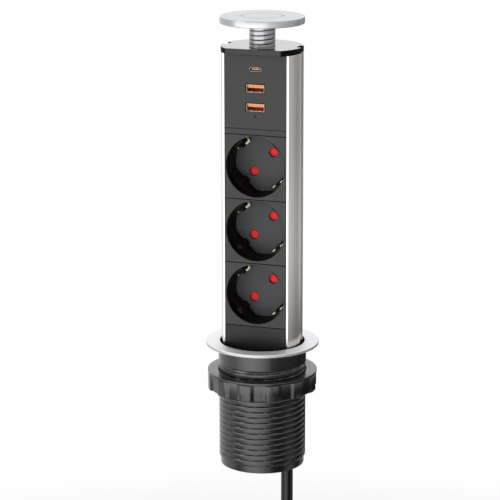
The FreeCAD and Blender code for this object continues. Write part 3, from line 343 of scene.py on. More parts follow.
# %% Grey card for reflections
paint, tree, shader, place = new_finish("card_matt_grey", "#808080", 1.0)
shade = add(tree, "ShaderNodeAttribute", {"attribute_name": "tone"})
glow = add(tree, "ShaderNodeEmission", None, {"Color": shade.outputs["Color"], "Strength": 1.0})
tree.links.new(glow.outputs[0], tree.nodes["Material Output"].inputs["Surface"])


def toned_card(name, points, tone):
    """A card that only mirrors show. Each point of its grid gives off that point's tone."""
    card = grid_piece(name, points)
    marks = card.data.color_attributes.new("tone", "FLOAT_COLOR", "POINT")
    marks.data.foreach_set("color", np.repeat(tone.ravel(), 4))
    wear(card, paint)
    card.visible_camera = card.visible_diffuse = card.visible_shadow = card.visible_transmission = False
    print(name, "tones", tone.min(), tone.max())


# Degrees round the object and metres above the worktop, each with its tone
CARD_BY_TURN = ((-51, 1.5), (-31, 1.1), (-12, 0.82), (4, 0.76), (17, 0.71), (25, 0.6), (34, 0.46), (44, 0.4),
                (55, 0.5), (62, 0.8), (70, 0.4), (79, 0.05), (88, 0.4), (94, 0.9))
CARD_BY_HEIGHT = ((-0.225, 0.04), (-0.19, 0.6), (-0.17, 0.95), (-0.145, 1.4), (-0.117, 1.4), (-0.085, 1.35),
                  (-0.05, 1.15), (-0.02, 1.0), (0.0, 0.84), (0.03, 0.95))
CARD_REACH, CARD_TOP, WHITE_FROM, WHITE_OVER = 0.75, 0.45, 0.12, 0.3
turn, height = np.meshgrid(np.radians(np.linspace(-51, 94, 117)), np.linspace(FLOOR_Z + 0.001, CARD_TOP, 60))
tone = np.interp(np.degrees(turn), *np.transpose(CARD_BY_TURN))
tone = tone * np.interp(height, *np.transpose(CARD_BY_HEIGHT))
tone = tone + (1 - tone) * np.clip((height - WHITE_FROM) / WHITE_OVER, 0, 1)
toned_card("grey_card", np.stack([CARD_REACH * np.cos(turn), CARD_REACH * np.sin(turn), height], -1), tone)

# %% [markdown]
# Glossy black parts look black only where something dark is mirrored in them. A low part mirrors the
# table round its foot, so a second card lies flat there. It is bright in front, which draws one long
# highlight down the sleeve, and dark to the side of it.

# %% Floor card for reflections
FLOOR_CARD_BY_TURN = ((-150, 0.4), (-139, 0.3), (-125, 0.9), (-110, 1.9), (-98, 2.1), (-85, 1.9), (-71, 1.5),
                      (-58, 0.9), (-48, 0.4), (-38, 0.12), (-27, 0.03), (-15, 0.03), (-5, 0.35), (5, 0.6),
                      (15, 0.6), (30, 0.2), (43, 0.05), (60, 0.3), (94, 0.6))
FLOOR_CARD_FROM, FLOOR_CARD_TO, FLOOR_CARD_LIFT = 0.2, 0.95, 0.002
turn = np.radians(np.linspace(-150, 94, 123))
turn, reach = np.meshgrid(turn, np.linspace(FLOOR_CARD_FROM, FLOOR_CARD_TO, 16))
points = np.stack([reach * np.cos(turn), reach * np.sin(turn), FLOOR_Z + FLOOR_CARD_LIFT + 0 * turn], -1)
toned_card("floor_card", points, np.interp(np.degrees(turn), *np.transpose(FLOOR_CARD_BY_TURN)))

# %% [markdown]
# ## Metals
# The lid, the ring and the mast are anodised aluminium. Anodising leaves a thin glassy oxide, so the
# metal looks pale and satin, never like a mirror. The mast is drawn through a die, which leaves faint
# lines along it, and the round parts are spun, which leaves faint rings. The lines are really a few
# hundredths of a millimetre apart, and are drawn some tenths apart so that a picture can show them.
# Grooves too narrow for light, and the sawn ends of the mast, are painted near black: painted shade.

# %% Aluminium, spring steel, brass and nickel
FINISHES = {}
FINISHES["satin_aluminium"] = grained(
    "anodised_aluminium_extruded", "#C7C4C0", 0.3, 1.0, 0.5, ("#BEBAB6", "#D0CDC9"), (0.19, 0.27), 0.004,
    stretch=(1, 1, 0.01))

SPUN_ALUMINIUM, tree, shader, place = new_finish("anodised_aluminium_spun", "#AEAFB1", 0.3, 1.0)
flat = add(tree, "ShaderNodeVectorMath", {"operation": "MULTIPLY"}, {0: place, 1: (1, 1, 0)})
radius = add(tree, "ShaderNodeVectorMath", {"operation": "LENGTH"}, {0: flat.outputs[0]})
split = add(tree, "ShaderNodeSeparateXYZ", None, {0: place})
rings = add(tree, "ShaderNodeCombineXYZ", None, {0: radius.outputs["Value"], 2: split.outputs[2]})
grain(tree, shader, rings.outputs[0], 0.45, ("#A6A7A9", "#B6B7B9"), (0.24, 0.36), 0.003)

PRESSED_ALUMINIUM = grained(
    "anodised_aluminium_pressed", "#EBECEE", 0.56, 1.0, 0.4, ("#E6E7E9", "#F0F1F3"), (0.52, 0.6), 0.003)
RIM_SHADE_ALUMINIUM = grained(
    "anodised_aluminium_rim_painted_shade", "#B2B3B5", 0.5, 1.0, 0.4, ("#ADAEB0", "#B8B9BA"), (0.46, 0.54), 0.003)
SHADED_GROOVE = grained(
    "aluminium_in_deep_shade", "#040404", 0.6, 0.0, 0.5, ("#040404", "#080808"), (0.55, 0.7),
    Specular_IOR_Level=0.05)
FINISHES["steel"] = grained(
    "spring_steel_polished", "#C4C4C4", 0.22, 1.0, 1.2, ("#B4B4B5", "#D2D2D2"), (0.16, 0.3))
BAND_STEEL = grained(
    "spring_steel_band_drawn", "#9A9A9C", 0.26, 1.0, 0.8, ("#8E8E90", "#A6A6A8"), (0.2, 0.32))
FINISHES["brass"] = grained(
    "brass_stamped", "#D9B66B", 0.24, 1.0, 2.0, ("#C9A257", "#E6C680"), (0.18, 0.34), 0.01)
GLINT_BRASS = grained(
    "brass_painted_glint", "#FBF2D2", 0.5, 0.0, 1.0, ("#F3E8C2", "#FFFBE6"), (0.44, 0.56))
SHADED_BRASS = grained(
    "brass_painted_shade", "#2B2417", 0.3, 1.0, 1.0, ("#1E1910", "#3A3120"), (0.24, 0.38))
FINISHES["nickel"] = grained(
    "steel_nickel_plated", "#CFCBC4", 0.25, 1.0, 0.8, ("#C0BBB2", "#DAD7D1"), (0.2, 0.34))
NICKEL_ORANGE_REFLECTION = grained(
    "steel_nickel_painted_orange_reflection", "#D0AC9C", 0.32, 1.0, 0.8, ("#C29D8C", "#DCBBAC"), (0.28, 0.38))
NICKEL_RIM_HIGHLIGHT = grained(
    "steel_nickel_painted_highlight_edge", "#F2D3C4", 0.42, 0.0, 0.8, ("#EBC9B8", "#FADFD2"), (0.36, 0.48))
SHADED_BORE = grained(
    "steel_nickel_shaded_bore", "#5A2C14", 0.5, 0.0, 1.0, ("#4C230E", "#6A381C"), (0.44, 0.56))
print("metals", list(FINISHES))

# %% [markdown]
# ## Black mouldings
# The module fronts are ABS moulded in a spark-eroded tool, which prints a fine matt texture, so they
# scatter light and look dark grey. The cap over the mast is the same plastic from a polished tool: at a
# low angle it mirrors the bright wall behind. The sleeve and its nut lie between the two. The real
# texture is about a tenth of a millimetre, and is drawn at a few tenths so that it shows at all. The red
# plastic and the burnt orange of the port backs let some light through, and are also given a faint glow
# of their own: painted light that brightens them deep in the sockets and ports.

# %% Plastics
FINISHES["matte_black"] = grained(
    "abs_black_spark_textured", "#232323", 0.5, 0.0, 0.35, ("#202021", "#262627"), (0.46, 0.56), 0.012,
    Specular_IOR_Level=0.45)
FINISHES["gloss_black"] = grained(
    "abs_black_polished", "#0A0A0B", 0.1, 0.0, 9.0, ("#08080A", "#0E0E10"), (0.07, 0.13),
    Coat_Weight=0.35, Coat_Roughness=0.04)
SMOOTH_BLACK = grained(
    "abs_black_smooth", "#111112", 0.4, 0.0, 0.5, ("#0E0E0F", "#151516"), (0.38, 0.48), 0.006,
    Specular_IOR_Level=0.32)
# Painted shade: a black with no gloss for bevelled edges, seams, socket steps and the cap's rim.
SHADE_BLACK = grained(
    "abs_black_painted_shade", "#040404", 0.6, 0.0, 0.5, ("#040404", "#080808"), (0.55, 0.7),
    Specular_IOR_Level=0.05)
RECESS_WALL_SHADE = grained(
    "abs_black_recess_painted_shade", "#050506", 0.45, 0.0, 0.6, ("#040405", "#09090A"), (0.34, 0.46),
    Specular_IOR_Level=0.14)
RECESS_FLOOR = grained(
    "abs_black_recess_floor", "#3C3D3F", 0.6, 0.0, 0.35, ("#393A3C", "#404143"), (0.55, 0.66), 0.008)
FINISHES["satin_black"] = grained(
    "polyamide_black_satin", "#0C0C0D", 0.2, 0.0, 0.6, ("#0A0A0B", "#111112"), (0.16, 0.23), 0.004,
    Specular_IOR_Level=0.75)
FINISHES["inner_plastic"] = grained(
    "polyamide_dark_grey_moulded", "#1F2022", 0.45, 0.0, 1.0, ("#1A1B1D", "#26272A"), (0.4, 0.52), 0.006)
# The red glow is painted light.
FINISHES["red_plastic"] = grained(
    "polycarbonate_red_painted_glow", "#EE1219", 0.4, 0.0, 1.5, ("#E50E15", "#F51A20"), (0.36, 0.46),
    Specular_IOR_Level=0.2, Emission_Color=linear("#FF2A30"), Emission_Strength=0.16)
FINISHES["orange_plastic"] = grained(
    "liquid_crystal_polymer_orange", "#F08B33", 0.4, 0.0, 1.0, ("#E67F2A", "#F89A45"), (0.34, 0.46))
FINISHES["dark_tongue"] = grained(
    "liquid_crystal_polymer_brown", "#EFC29C", 0.4, 0.0, 0.8, ("#E3AE82", "#F8D6B6"), (0.34, 0.46))
# The port backs' glow is painted light.
PAINTED_GLOW_ORANGE = grained(
    "liquid_crystal_polymer_orange_painted_glow", "#B5562A", 0.5, 0.0, 1.3, ("#6B2A14", "#FF9448"), (0.44, 0.56), 0.02,
    detail=1.0, Emission_Color=linear("#E0662A"), Emission_Strength=0.35)
ORANGE_EDGE_HIGHLIGHT = grained(
    "liquid_crystal_polymer_painted_highlight_edge", "#FFCB96", 0.4, 0.0, 1.0, ("#FFC286", "#FFD6A8"), (0.34, 0.46))
FINISHES["lens"] = grained(
    "acrylic_smoked_lens", "#08080A", 0.3, 0.0, 1.0, ("#060607", "#0C0C0E"), (0.26, 0.36),
    Specular_IOR_Level=0.2)
FINISHES["circuit_board"] = grained(
    "fibreglass_board_lacquered", "#14603A", 0.35, 0.0, 0.9, ("#115230", "#1B7046"), (0.3, 0.42), 0.01)
FINISHES["foam"] = grained(
    "polyethylene_foam_closed_cell", "#1C1C1D", 0.85, 0.0, 0.5, ("#161617", "#242425"), (0.8, 0.92), 0.05)
print("finishes so far", list(FINISHES))

# %% [markdown]
# ## Cord, boot and strap
# The lead's sheath is soft PVC pushed out hot through a ring. It cools smooth, with a slow waver in its
# gloss, and picks up a little dust. The strap that holds the coil is woven nylon: its threads show as
# fine ribs across it.

# %% Soft finishes
FINISHES["cord_black"] = grained(
    "pvc_sheath_extruded", "#0A0A0B", 0.19, 0.0, 2.5, ("#080809", "#0E0E0F"), (0.15, 0.23), 0.012,
    Specular_IOR_Level=0.4)

FINISHES["tie_strap"], tree, shader, place = new_finish("nylon_strap_woven", "#1D1D20", 0.7, Sheen_Weight=0.2)
weave = add(tree, "ShaderNodeTexWave", {"bands_direction": "DIAGONAL"}, {"Vector": place, "Scale": 420.0})
lift = add(tree, "ShaderNodeBump", None, {"Height": weave.outputs[0], "Distance": 0.00015})
tree.links.new(lift.outputs[0], shader.inputs["Normal"])

for row in frame["record"]["subparts"]:
    wear(NODES[row["node"]], FINISHES[row["material_slot"]])
SLOT_OF = {row["node"]: row["material_slot"] for row in frame["record"]["subparts"]}
for word in ("cap_disc", "grip_disc"):
    wear(NODES[word], SPUN_ALUMINIUM)
wear(NODES["flange_ring"], PRESSED_ALUMINIUM)
print("finishes", list(FINISHES))


def dress(piece, body, *nodes, finish=None):
    """Makes a piece ride on a body, stand for its CAD nodes, and take the first one's slot and finish."""
    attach(piece, body)
    if nodes:
        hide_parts(*nodes)
    wear(piece, finish or FINISHES[SLOT_OF[nodes[0]]])
    tally = sum(len(face.vertices) - 2 for face in piece.data.polygons) if piece.type == "MESH" else "curve"
    print(piece.name, "on", body, "for", nodes, "triangles", tally)
    return piece

# %% [markdown]
# ## The mains cord
# A round PVC lead, 8.2 mm thick, leaves the mast's foot and hangs to the floor. What the photograph
# doesn't show is put away in a round coil behind and below the tower. A cord is a smooth line, so its
# centre is a NURBS spline through a few control points, and the round section is carried along it. The
# upper stretch is a tube of its own.

# %% The hanging stretch
CORD_RADIUS = 0.0041
CORD_X, CORD_Y = 0.0172, 0.0015
GLAND_END, DROP_FOOT = -0.062, -0.290


def round_tube(name, path, radius, fixed=(0.0, 1.0, 0.0), around=24, wide=1.0, square=1.0, ground=None):
    """A tube round a path: the centre plus radius times cosine and sine of the angle along two vectors
    that stand square to the path. The first of them is the part of a fixed direction across the path,
    the second is stretched by wide, and both sine and cosine are raised to the power square, which
    flattens the sides when it is below one. Each end closes on the path's own end point. Ground gives
    two heights, and whatever lies beyond them is cut back to them."""
    tangent = np.gradient(path, axis=0)
    tangent /= np.linalg.norm(tangent, axis=1, keepdims=True)
    first = np.array(fixed) - tangent * (tangent @ np.array(fixed))[:, None]
    first /= np.linalg.norm(first, axis=1, keepdims=True)
    second = np.cross(tangent, first)
    angle = np.linspace(0, 2 * np.pi, around, endpoint=False)[None, :, None]
    up = np.sign(np.cos(angle)) * np.abs(np.cos(angle)) ** square
    out = wide * np.sign(np.sin(angle)) * np.abs(np.sin(angle)) ** square
    wall = path[:, None, :] + radius * (up * first[:, None] + out * second[:, None])
    caps = np.repeat(path[[0, -1], None, :], around, axis=1)
    points = np.concatenate([caps[:1], wall, caps[1:]])
    if ground:
        points[..., 2] = np.clip(points[..., 2], *ground)
    return smooth(weld(grid_piece(name, points, close_across=True)))


drop_path = np.stack([np.full(60, CORD_X), np.full(60, CORD_Y), np.linspace(GLAND_END, DROP_FOOT, 60)], -1)
cord_upper = round_tube("cord_upper", drop_path, CORD_RADIUS)
dress(cord_upper, "worktop_sleeve", "cord_drop")
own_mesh(cord_upper)

# %% [markdown]
# The rest of the lead is one curve. Its points are the corners of a line that the cord cuts inside of:
# two for the bend at the floor, twelve for each turn of the coil, and three up to the plug. The coil
# winds inwards for two turns, climbs over itself, and winds outwards again on top.

# %% The bend, the coil and the tail
COIL_X, COIL_Y, FLOOR_LINE, LAYER = -0.0402, 0.0525, -0.331, 0.0088
START_RADIUS, RADIUS_STEP, CROSSING_DIP = 0.051, 0.0089, 0.0016
TURNS, STEPS = 4.5, 12
turn = (np.arange(int(TURNS * STEPS) + 2) - 0.5) / STEPS
rise = np.clip((turn - 2.0) * 2.0, 0.0, 1.0)
spiral = START_RADIUS - RADIUS_STEP * np.clip(turn, 0, 2) + RADIUS_STEP * np.clip(turn - 2.5, 0, None)
spiral = (spiral - CROSSING_DIP * np.sin(np.pi * rise) ** 2) / math.cos(math.pi / STEPS)
angle = np.radians(-90.0 - 360.0 * turn)
coil = np.stack([COIL_X + spiral * np.cos(angle), COIL_Y + spiral * np.sin(angle),
                 FLOOR_LINE + LAYER * rise * rise * (3.0 - 2.0 * rise)], -1)
route = [(CORD_X, CORD_Y, DROP_FOOT), (CORD_X, CORD_Y, -0.307), (-0.0068, CORD_Y, FLOOR_LINE)]
route += coil.tolist()
route += [(-0.0180, 0.1035, -0.3222), (-0.0060, 0.1035, -0.3183), (0.0122, 0.1035, -0.3183)]
line = bpy.data.curves.new("cord_run", "CURVE")
line.dimensions = "3D"
spline = line.splines.new("NURBS")
spline.points.add(len(route) - 1)
spline.points.foreach_set("co", np.array([(*point, 1.0) for point in route]).ravel())
spline.points.foreach_set("radius", np.full(len(route), CORD_RADIUS))
spline.order_u = 3
spline.use_endpoint_u = True
spline.resolution_u = 6
line.bevel_depth = 1.0
line.bevel_resolution = 5
line.use_fill_caps = True
cord_run = bpy.data.objects.new("cord_run", line)
scene.collection.objects.link(cord_run)
dress(cord_run, "worktop_sleeve", "cord_bend", "cord_coil")
print("cord points", len(route))

# %% [markdown]
# The boot under the mast keeps the lead from kinking where it leaves. It is rubber, a cone that gets
# thinner towards its tip, with grooves all round that let it bend. The strap round the coil is a flat
# band, rounded where it goes over the outer turns.

# %% Boot and strap
BOOT_TOP, BOOT_RIM, BOOT_END, BOOT_ROOT = -40.0, -41.6, -62.0, -36.0
BOOT_RADIUS, HEAD_RADIUS, BOOT_BORE, BOOT_TAPER, GROOVE_DEPTH, GROOVES = 5.6, 6.4, 4.15, 0.55, 0.5, 6
height = np.linspace(BOOT_RIM, BOOT_END, 120)
share = (height - BOOT_RIM) / (BOOT_END - BOOT_RIM)
groove = np.clip(np.sin(2 * np.pi * (share * GROOVES - 0.25)), 0, 1) ** 2
groove *= (share > 0.04) * (share < 0.96)
wall = np.stack([BOOT_RADIUS - BOOT_TAPER * share - GROOVE_DEPTH * groove, height], -1)
rim = rounded([(BOOT_RADIUS, BOOT_ROOT, 0), (BOOT_RADIUS, BOOT_TOP, 0), (HEAD_RADIUS, BOOT_TOP, 0.2),
               (HEAD_RADIUS, BOOT_RIM, 0.4)])
inner = np.array([(BOOT_BORE, BOOT_END), (BOOT_BORE, BOOT_ROOT)])
boot = turned("cord_boot", np.concatenate([rim, wall, inner]), 72, (CORD_X * 1000, CORD_Y * 1000), 50)
dress(boot, "mast", "cord_gland")

low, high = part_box("cord_tie")
middle = np.array((low + high) / 2)
half = np.array((high - low) / 2)
STRAP, STRAP_POWER = 0.0006, 0.35
t = np.linspace(0, 2 * np.pi, 96, endpoint=False)
ring = np.stack([np.sign(w) * np.abs(w) ** STRAP_POWER for w in (np.cos(t), np.sin(t))], -1)
depth = np.array([0, 0, 0, STRAP, STRAP, STRAP])
across = half[1] * np.array([-1, 0, 1, 1, 0, -1])
points = np.stack([middle[0] + ring[:, :1] * (half[0] - depth), middle[1] + across + 0 * ring[:, :1],
                   middle[2] + ring[:, 1:] * (half[2] - depth)], -1)
strap = smooth(weld(grid_piece("coil_strap", points, close_across=True, close_along=True)))
dress(strap, "worktop_sleeve", "cord_tie")

# %% [markdown]
# ## The lid
# The lid is a thick aluminium disc with a shallow round well. A smaller disc sits flush in the well and
# rocks on two pins, so that a fingertip can lift its edge. The lid is turned from an outline, and its
# top dips where the pins lie: a groove whose floor is the pin's depth and the round of the pin.

# %% Lid and rocking disc
LID_TURN = math.radians(18.56)
LID_TOP, PIN_DEPTH, PIN_GROOVE, GROOVE_REACH = 221.4, 0.9, 0.65, 14.95
LID_RADIUS, LID_FOOT, HUB_RADIUS, WELL_RADIUS, WELL_FLOOR, DISC_RADIUS = 27.9, 216.9, 5.05, 13.15, 217.9, 12.9
rim = rounded([(HUB_RADIUS, LID_FOOT, 0), (LID_RADIUS, LID_FOOT, 0.5), (LID_RADIUS, LID_TOP, 0.5)])
deck = np.array([(r, LID_TOP) for r in (24.0, 18.0, 15.6, 15.0, 14.96, 14.9, 14.5, 14.1, 13.7, 13.45)])
lip = rounded([(13.7, LID_TOP, 0), (WELL_RADIUS, LID_TOP, 0.25), (WELL_RADIUS, 220.9, 0)], 4)[1:]
well = np.array([(WELL_RADIUS, z) for z in (220.6, 220.3, 220.0, 219.87, 219.8, WELL_FLOOR)]
                + [(HUB_RADIUS, WELL_FLOOR)])
outline = np.concatenate([rim, deck, lip, well])
near = np.array([0, 0.6, 1.2, 1.8, 2.2, 2.45, 2.6, 2.66, 2.74, 2.85, 3.1])
near = np.concatenate([-near[:0:-1], near])
spread = np.concatenate([np.arange(5, 176, 2.5), 180 + np.arange(5, 176, 2.5), near, near + 180])
angle = np.sort(np.radians(spread))
radius, height = outline[:, :1], outline[:, 1:]
beside = np.abs(radius * np.sin(angle))
inside = (beside < PIN_GROOVE) & (radius < GROOVE_REACH) & (radius > 13.0) & (height > 219.0)
sunk = LID_TOP - PIN_DEPTH - np.sqrt(np.clip(PIN_GROOVE ** 2 - beside ** 2, 0, None))
height = np.where(inside, np.minimum(height, sunk), height + 0 * angle)
points = np.stack([radius * np.cos(angle + LID_TURN), radius * np.sin(angle + LID_TURN), height], -1) * 0.001
lid = smooth(weld(grid_piece("lid", points, close_across=True, close_along=True)))
dress(lid, "lid", "cap_disc", finish=SPUN_ALUMINIUM)
spots = np.array([face.center for face in lid.data.polygons]) * 1000
out = np.hypot(spots[:, 0], spots[:, 1])
beside = np.abs(spots[:, 1] * math.cos(LID_TURN) - spots[:, 0] * math.sin(LID_TURN))
groove = (out > WELL_RADIUS + 0.05) & (out < GROOVE_REACH + 0.03) & (beside < PIN_GROOVE + 0.05)
groove &= (spots[:, 2] > 219.0) & (spots[:, 2] < LID_TOP - 0.05)
# The faces of the pin grooves are painted near black: painted shade.
lid.data.materials.append(SHADED_GROOVE)
lid.data.polygons.foreach_set("material_index", groove.astype(np.int32))
print("groove faces", int(groove.sum()))

outline = rounded([(0, 219.6, 0), (DISC_RADIUS, 219.6, 0.2), (DISC_RADIUS, LID_TOP, 0.3), (0, LID_TOP, 0)])
disc = turned("rocking_disc", outline)
dress(disc, "grip", "grip_disc", finish=SPUN_ALUMINIUM)

# %% [markdown]
# ## The sprung neck
# The bright ribbed neck under the lid is a compression spring of flat steel band, wound right-handed
# with its turns nearly touching. The band stands upright and its edges are rounded, so the neck is a
# stack of bright bands with thin dark lines between them. It is one tube along an even helix, and its
# ends are ground flat: what would lie beyond the cap or the lid is cut back to their faces.

# %% Spring
low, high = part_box("cap_spring")
BAND_HALF, BAND_THICK, SPRING_RADIUS, SPRING_PITCH = 0.00147, 0.0006, 0.0080, 0.00308
FRONT_ANGLE, FRONT_HEIGHT = 288.56, 0.20495
first = (low.z + 0.00002 - BAND_HALF - FRONT_HEIGHT) / SPRING_PITCH
last = (high.z - 0.00002 + BAND_HALF - FRONT_HEIGHT) / SPRING_PITCH
turn = np.linspace(first, last, 420)
angle = np.radians(FRONT_ANGLE) + 2 * np.pi * turn
helix = np.stack([SPRING_RADIUS * np.cos(angle), SPRING_RADIUS * np.sin(angle),
                  FRONT_HEIGHT + SPRING_PITCH * turn], -1)
spring = round_tube("neck_spring", helix, BAND_HALF, fixed=(0, 0, 1), around=40, wide=BAND_THICK / BAND_HALF,
                    square=0.45, ground=(low.z, high.z))
dress(spring, "mast", "cap_spring", finish=BAND_STEEL)
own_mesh(spring)

# %% [markdown]
# ## Mast, cap and module fronts
# These are the CAD's own shapes. What they lack is the small round on every edge, which catches a line
# of light, so each is copied, its triangles are merged into whole faces, and its edges are bevelled by
# a few tenths of a millimetre.

# %% Edged copies
def face_places(piece):
    """Centres and normals of all faces, the centres in millimetres."""
    centres = np.zeros(len(piece.data.polygons) * 3)
    facing = np.zeros_like(centres)
    piece.data.polygons.foreach_get("center", centres)
    piece.data.polygons.foreach_get("normal", facing)
    return centres.reshape(-1, 3) * 1000, facing.reshape(-1, 3)


def finish_by_face(piece, finishes, which):
    """Adds finishes behind a piece's own one and gives each face its number in that list."""
    for finish in finishes:
        piece.data.materials.append(finish)
    piece.data.polygons.foreach_set("material_index", which.astype(np.int32))
    print(piece.name, "faces by finish", np.bincount(which))


def dark_edges(piece):
    """Gives the bevelled edges of a moulding a black with no gloss: painted shade along the edges and seams."""
    piece.data.materials.append(SHADE_BLACK)
    piece.modifiers["worn_edges"].material = len(piece.data.materials) - 1


for node, name, width in (("mast_profile", "mast_extrusion", 0.3), ("top_end_cap", "mast_cap", 0.35),
                          ("bottom_end_cap", "mast_foot_cap", 0.25)):
    dress(edged_copy(node, name, width), "mast", node)
mast = scene.objects["mast_extrusion"]
centres, facing = face_places(mast)
# The sawn ends of the mast are painted near black: painted shade under the cap's edge.
finish_by_face(mast, (SHADED_GROOVE,), np.where(facing[:, 2] > 0.9, 1, 0))
for node, name, finish in (("usb_face", "charging_front", None), ("spacer_strip", "spacer_front", None),
                           ("blank_panel", "lower_front", SMOOTH_BLACK)):
    dark_edges(dress(edged_copy(node, name, 0.2), "mast", node, finish=finish))

# %% [markdown]
# ## Socket recesses
# Each recess narrows to two flats, and a guide rib stands on each flat. The flats start behind the mouth
# and the ribs have a sloped front, so that a plug slides in. The plate is textured, the recess walls
# are smooth and painted near black, which is painted shade, and the floor is matt. The step behind the
# mouth and the bevelled edges take the black with no gloss, painted shade as well. A face counts as
# floor when it looks forward and lies deep, and as wall when it is inside the circle of the mouth.

# %% Socket fronts
SOCKET_MIDDLES = (123.54, 80.22, 36.9)
MOUTH_FLOOR, FLAT_HALF, RIB_HALF = -11.2, 17.4, 4.0
FLAT_START, RIB_START, PLATE_FRONT, FLOOR_FROM = -8.9, -3.6, -14.3, 2.0


def slope_guides(middle):
    """A change for one socket plate: the step behind the mouth and the flats move back to FLAT_START,
    and the front corners of the guide ribs move back to RIB_START."""
    def change(work):
        diagonal = np.array([1.0, 0.0, 1.0]) / math.sqrt(2)
        centre = np.array([0.0, 0.0, middle])
        for sign in (-1, 1):
            where = (centre + sign * FLAT_HALF * diagonal) * 0.001
            geometry = list(work.verts) + list(work.edges) + list(work.faces)
            bmesh.ops.bisect_plane(work, geom=geometry, dist=1e-7, plane_co=where, plane_no=diagonal)
        moved = 0
        for vert in work.verts:
            spot = np.array(vert.co) * 1000 - centre
            if abs(spot[1] - MOUTH_FLOOR) > 0.02 or math.hypot(spot[0], spot[2]) > 20.3:
                continue
            deep = abs(spot @ diagonal) < FLAT_HALF - 0.5 and abs(spot @ diagonal) > 15.0
            on_rib = deep and abs(spot @ np.array([1, 0, -1])) < RIB_HALF
            vert.co.y = (RIB_START if on_rib else FLAT_START) * 0.001
            moved += 1
        print("moved back", moved)
    return change


for number, middle in enumerate(SOCKET_MIDDLES, 1):
    front = edged_copy(f"socket_face_{number}", f"socket_front_{number}", 0.2, change=slope_guides(middle))
    dress(front, "mast", f"socket_face_{number}")
    centres, facing = face_places(front)
    inside = (np.hypot(centres[:, 0], centres[:, 2] - middle) < 20.5) & (centres[:, 1] > PLATE_FRONT)
    bottom = inside & (facing[:, 1] < -0.9) & (centres[:, 1] > FLOOR_FROM)
    step = inside & (facing[:, 1] < -0.9) & (centres[:, 1] < 0.0)
    # Wall faces take the near-black painted shade; the step behind the mouth and the bevels take the glossless
    # black, painted shade as well.
    finish_by_face(front, (RECESS_WALL_SHADE, RECESS_FLOOR, SHADE_BLACK),
                   np.where(bottom, 2, np.where(step, 3, np.where(inside, 1, 0))))
    front.modifiers["worn_edges"].material = 3

# %% [markdown]
# ## Earth springs
# The two sprung earth contacts of a socket are one bow of tinned brass, slit so that each spring has two
# fingers. The fingers stand in the dark, and the bow is painted a dark brass, which is painted shade.
# Small near-white pads where the finger ends catch the light are painted glints. Each is a small
# cushion: an outline that is nearly a rectangle, whose front bulges a little in the middle.

# %% Earth contacts
# The tabs are painted glints: near-white pads where the fingers' ends catch the light.
# Each tab: distance out along the springs' diagonal, distance along the wall, depth, half sizes, lean
TABS = ((18.1, 2.13, 0.5, 2.2, 2.2, 0.0), (18.33, -2.26, -5.0, 0.36, 1.9, 19.0),
        (-18.19, 4.24, -7.0, 0.36, 1.6, 0.0), (-17.4, -1.56, -9.0, 0.42, 1.1, 0.0))


def finger_tab(out, along, depth, half_out, half_along, lean, middle):
    """A cushion that looks forward: rings of a nearly rectangular outline, the cosine and sine of the
    angle to the power 0.5, grow from the centre of the front to the rim and close at the back."""
    t = np.linspace(0, 2 * np.pi, 32, endpoint=False)
    c, s = (np.sign(w) * np.abs(w) ** 0.5 for w in (np.cos(t), np.sin(t)))
    size = np.array([0.0, 0.5, 0.85, 1.0, 1.0, 0.0])[:, None]
    back = np.array([-0.3, -0.26, -0.12, 0.05, 0.4, 0.4])[:, None]
    a, b = half_out * size * c, half_along * size * s
    turn = math.radians(lean)
    a, b = a * math.cos(turn) + b * math.sin(turn), b * math.cos(turn) - a * math.sin(turn)
    a, b = out + a, along + b
    points = np.stack([(b - a) / math.sqrt(2), depth + back + 0 * t, middle + (a + b) / math.sqrt(2)], -1)
    return grid_piece("finger_tab", points * 0.001, close_across=True)


def joined(name, pieces):
    """One piece from several: the first takes in the meshes of the others, and these go."""
    work = bmesh.new()
    for piece in pieces:
        work.from_mesh(piece.data)
    work.to_mesh(pieces[0].data)
    work.free()
    for piece in pieces[1:]:
        bpy.data.objects.remove(piece)
    pieces[0].name = pieces[0].data.name = name
    return pieces[0]


for number, middle in enumerate(SOCKET_MIDDLES, 1):
    bow = edged_copy(f"earth_clips_{number}", f"earth_contacts_{number}", 0.16)
    dress(bow, "mast", f"earth_clips_{number}", finish=SHADED_BRASS)
    pads = joined(f"earth_glint_tabs_{number}", [finger_tab(*tab, middle) for tab in TABS])
    dress(smooth(weld(pads), 60), "mast", finish=GLINT_BRASS)

# %% [markdown]
# ## Port shells
# The steel shell of a charging port is folded from sheet a third of a millimetre thick. Its front edge
# is rolled inwards, so it stands a little clear of the opening; its front faces are painted a pale
# glossless tone, a painted highlight. The orange of the moulding inside, mirrored in the steel, is
# painted into the shell's colour: a painted reflection. Behind the tongue of a large port stands the back
# of that moulding, with a faint glow that is painted light.

# %% Port shells
SHELL_SHARES = {"usb_a_shell_1": (0.93, 0.9), "usb_a_shell_2": (0.93, 0.9), "usb_c_shell": (0.96, 0.94)}
for node, (wide, tall) in SHELL_SHARES.items():
    shell = edged_copy(node, node.replace("usb", "port"), 0.08)
    low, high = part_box(node)
    spots = np.zeros(len(shell.data.vertices) * 3)
    shell.data.vertices.foreach_get("co", spots)
    spots = spots.reshape(-1, 3)
    spots[:, 0] = (low.x + high.x) / 2 + wide * (spots[:, 0] - (low.x + high.x) / 2)
    spots[:, 2] = low.z + 0.0001 + tall * (spots[:, 2] - low.z)
    shell.data.vertices.foreach_set("co", spots.ravel())
    shell.data.update()
    dress(shell, "mast", node, finish=NICKEL_ORANGE_REFLECTION)
    centres, facing = face_places(shell)
    middle = np.array((low + high) / 2) * 1000
    inward = ((centres - middle) * facing)[:, [0, 2]].sum(1) < -0.05
    # The small port's bore takes a dark brown: painted shade.
    bore = inward & (np.abs(facing[:, 1]) < 0.5) & (node == "usb_c_shell")
    # Forward faces take the pale rim tone, a painted highlight.
    finish_by_face(shell, (NICKEL_RIM_HIGHLIGHT, SHADED_BORE), np.where(bore, 2, np.where(facing[:, 1] < -0.9, 1, 0)))

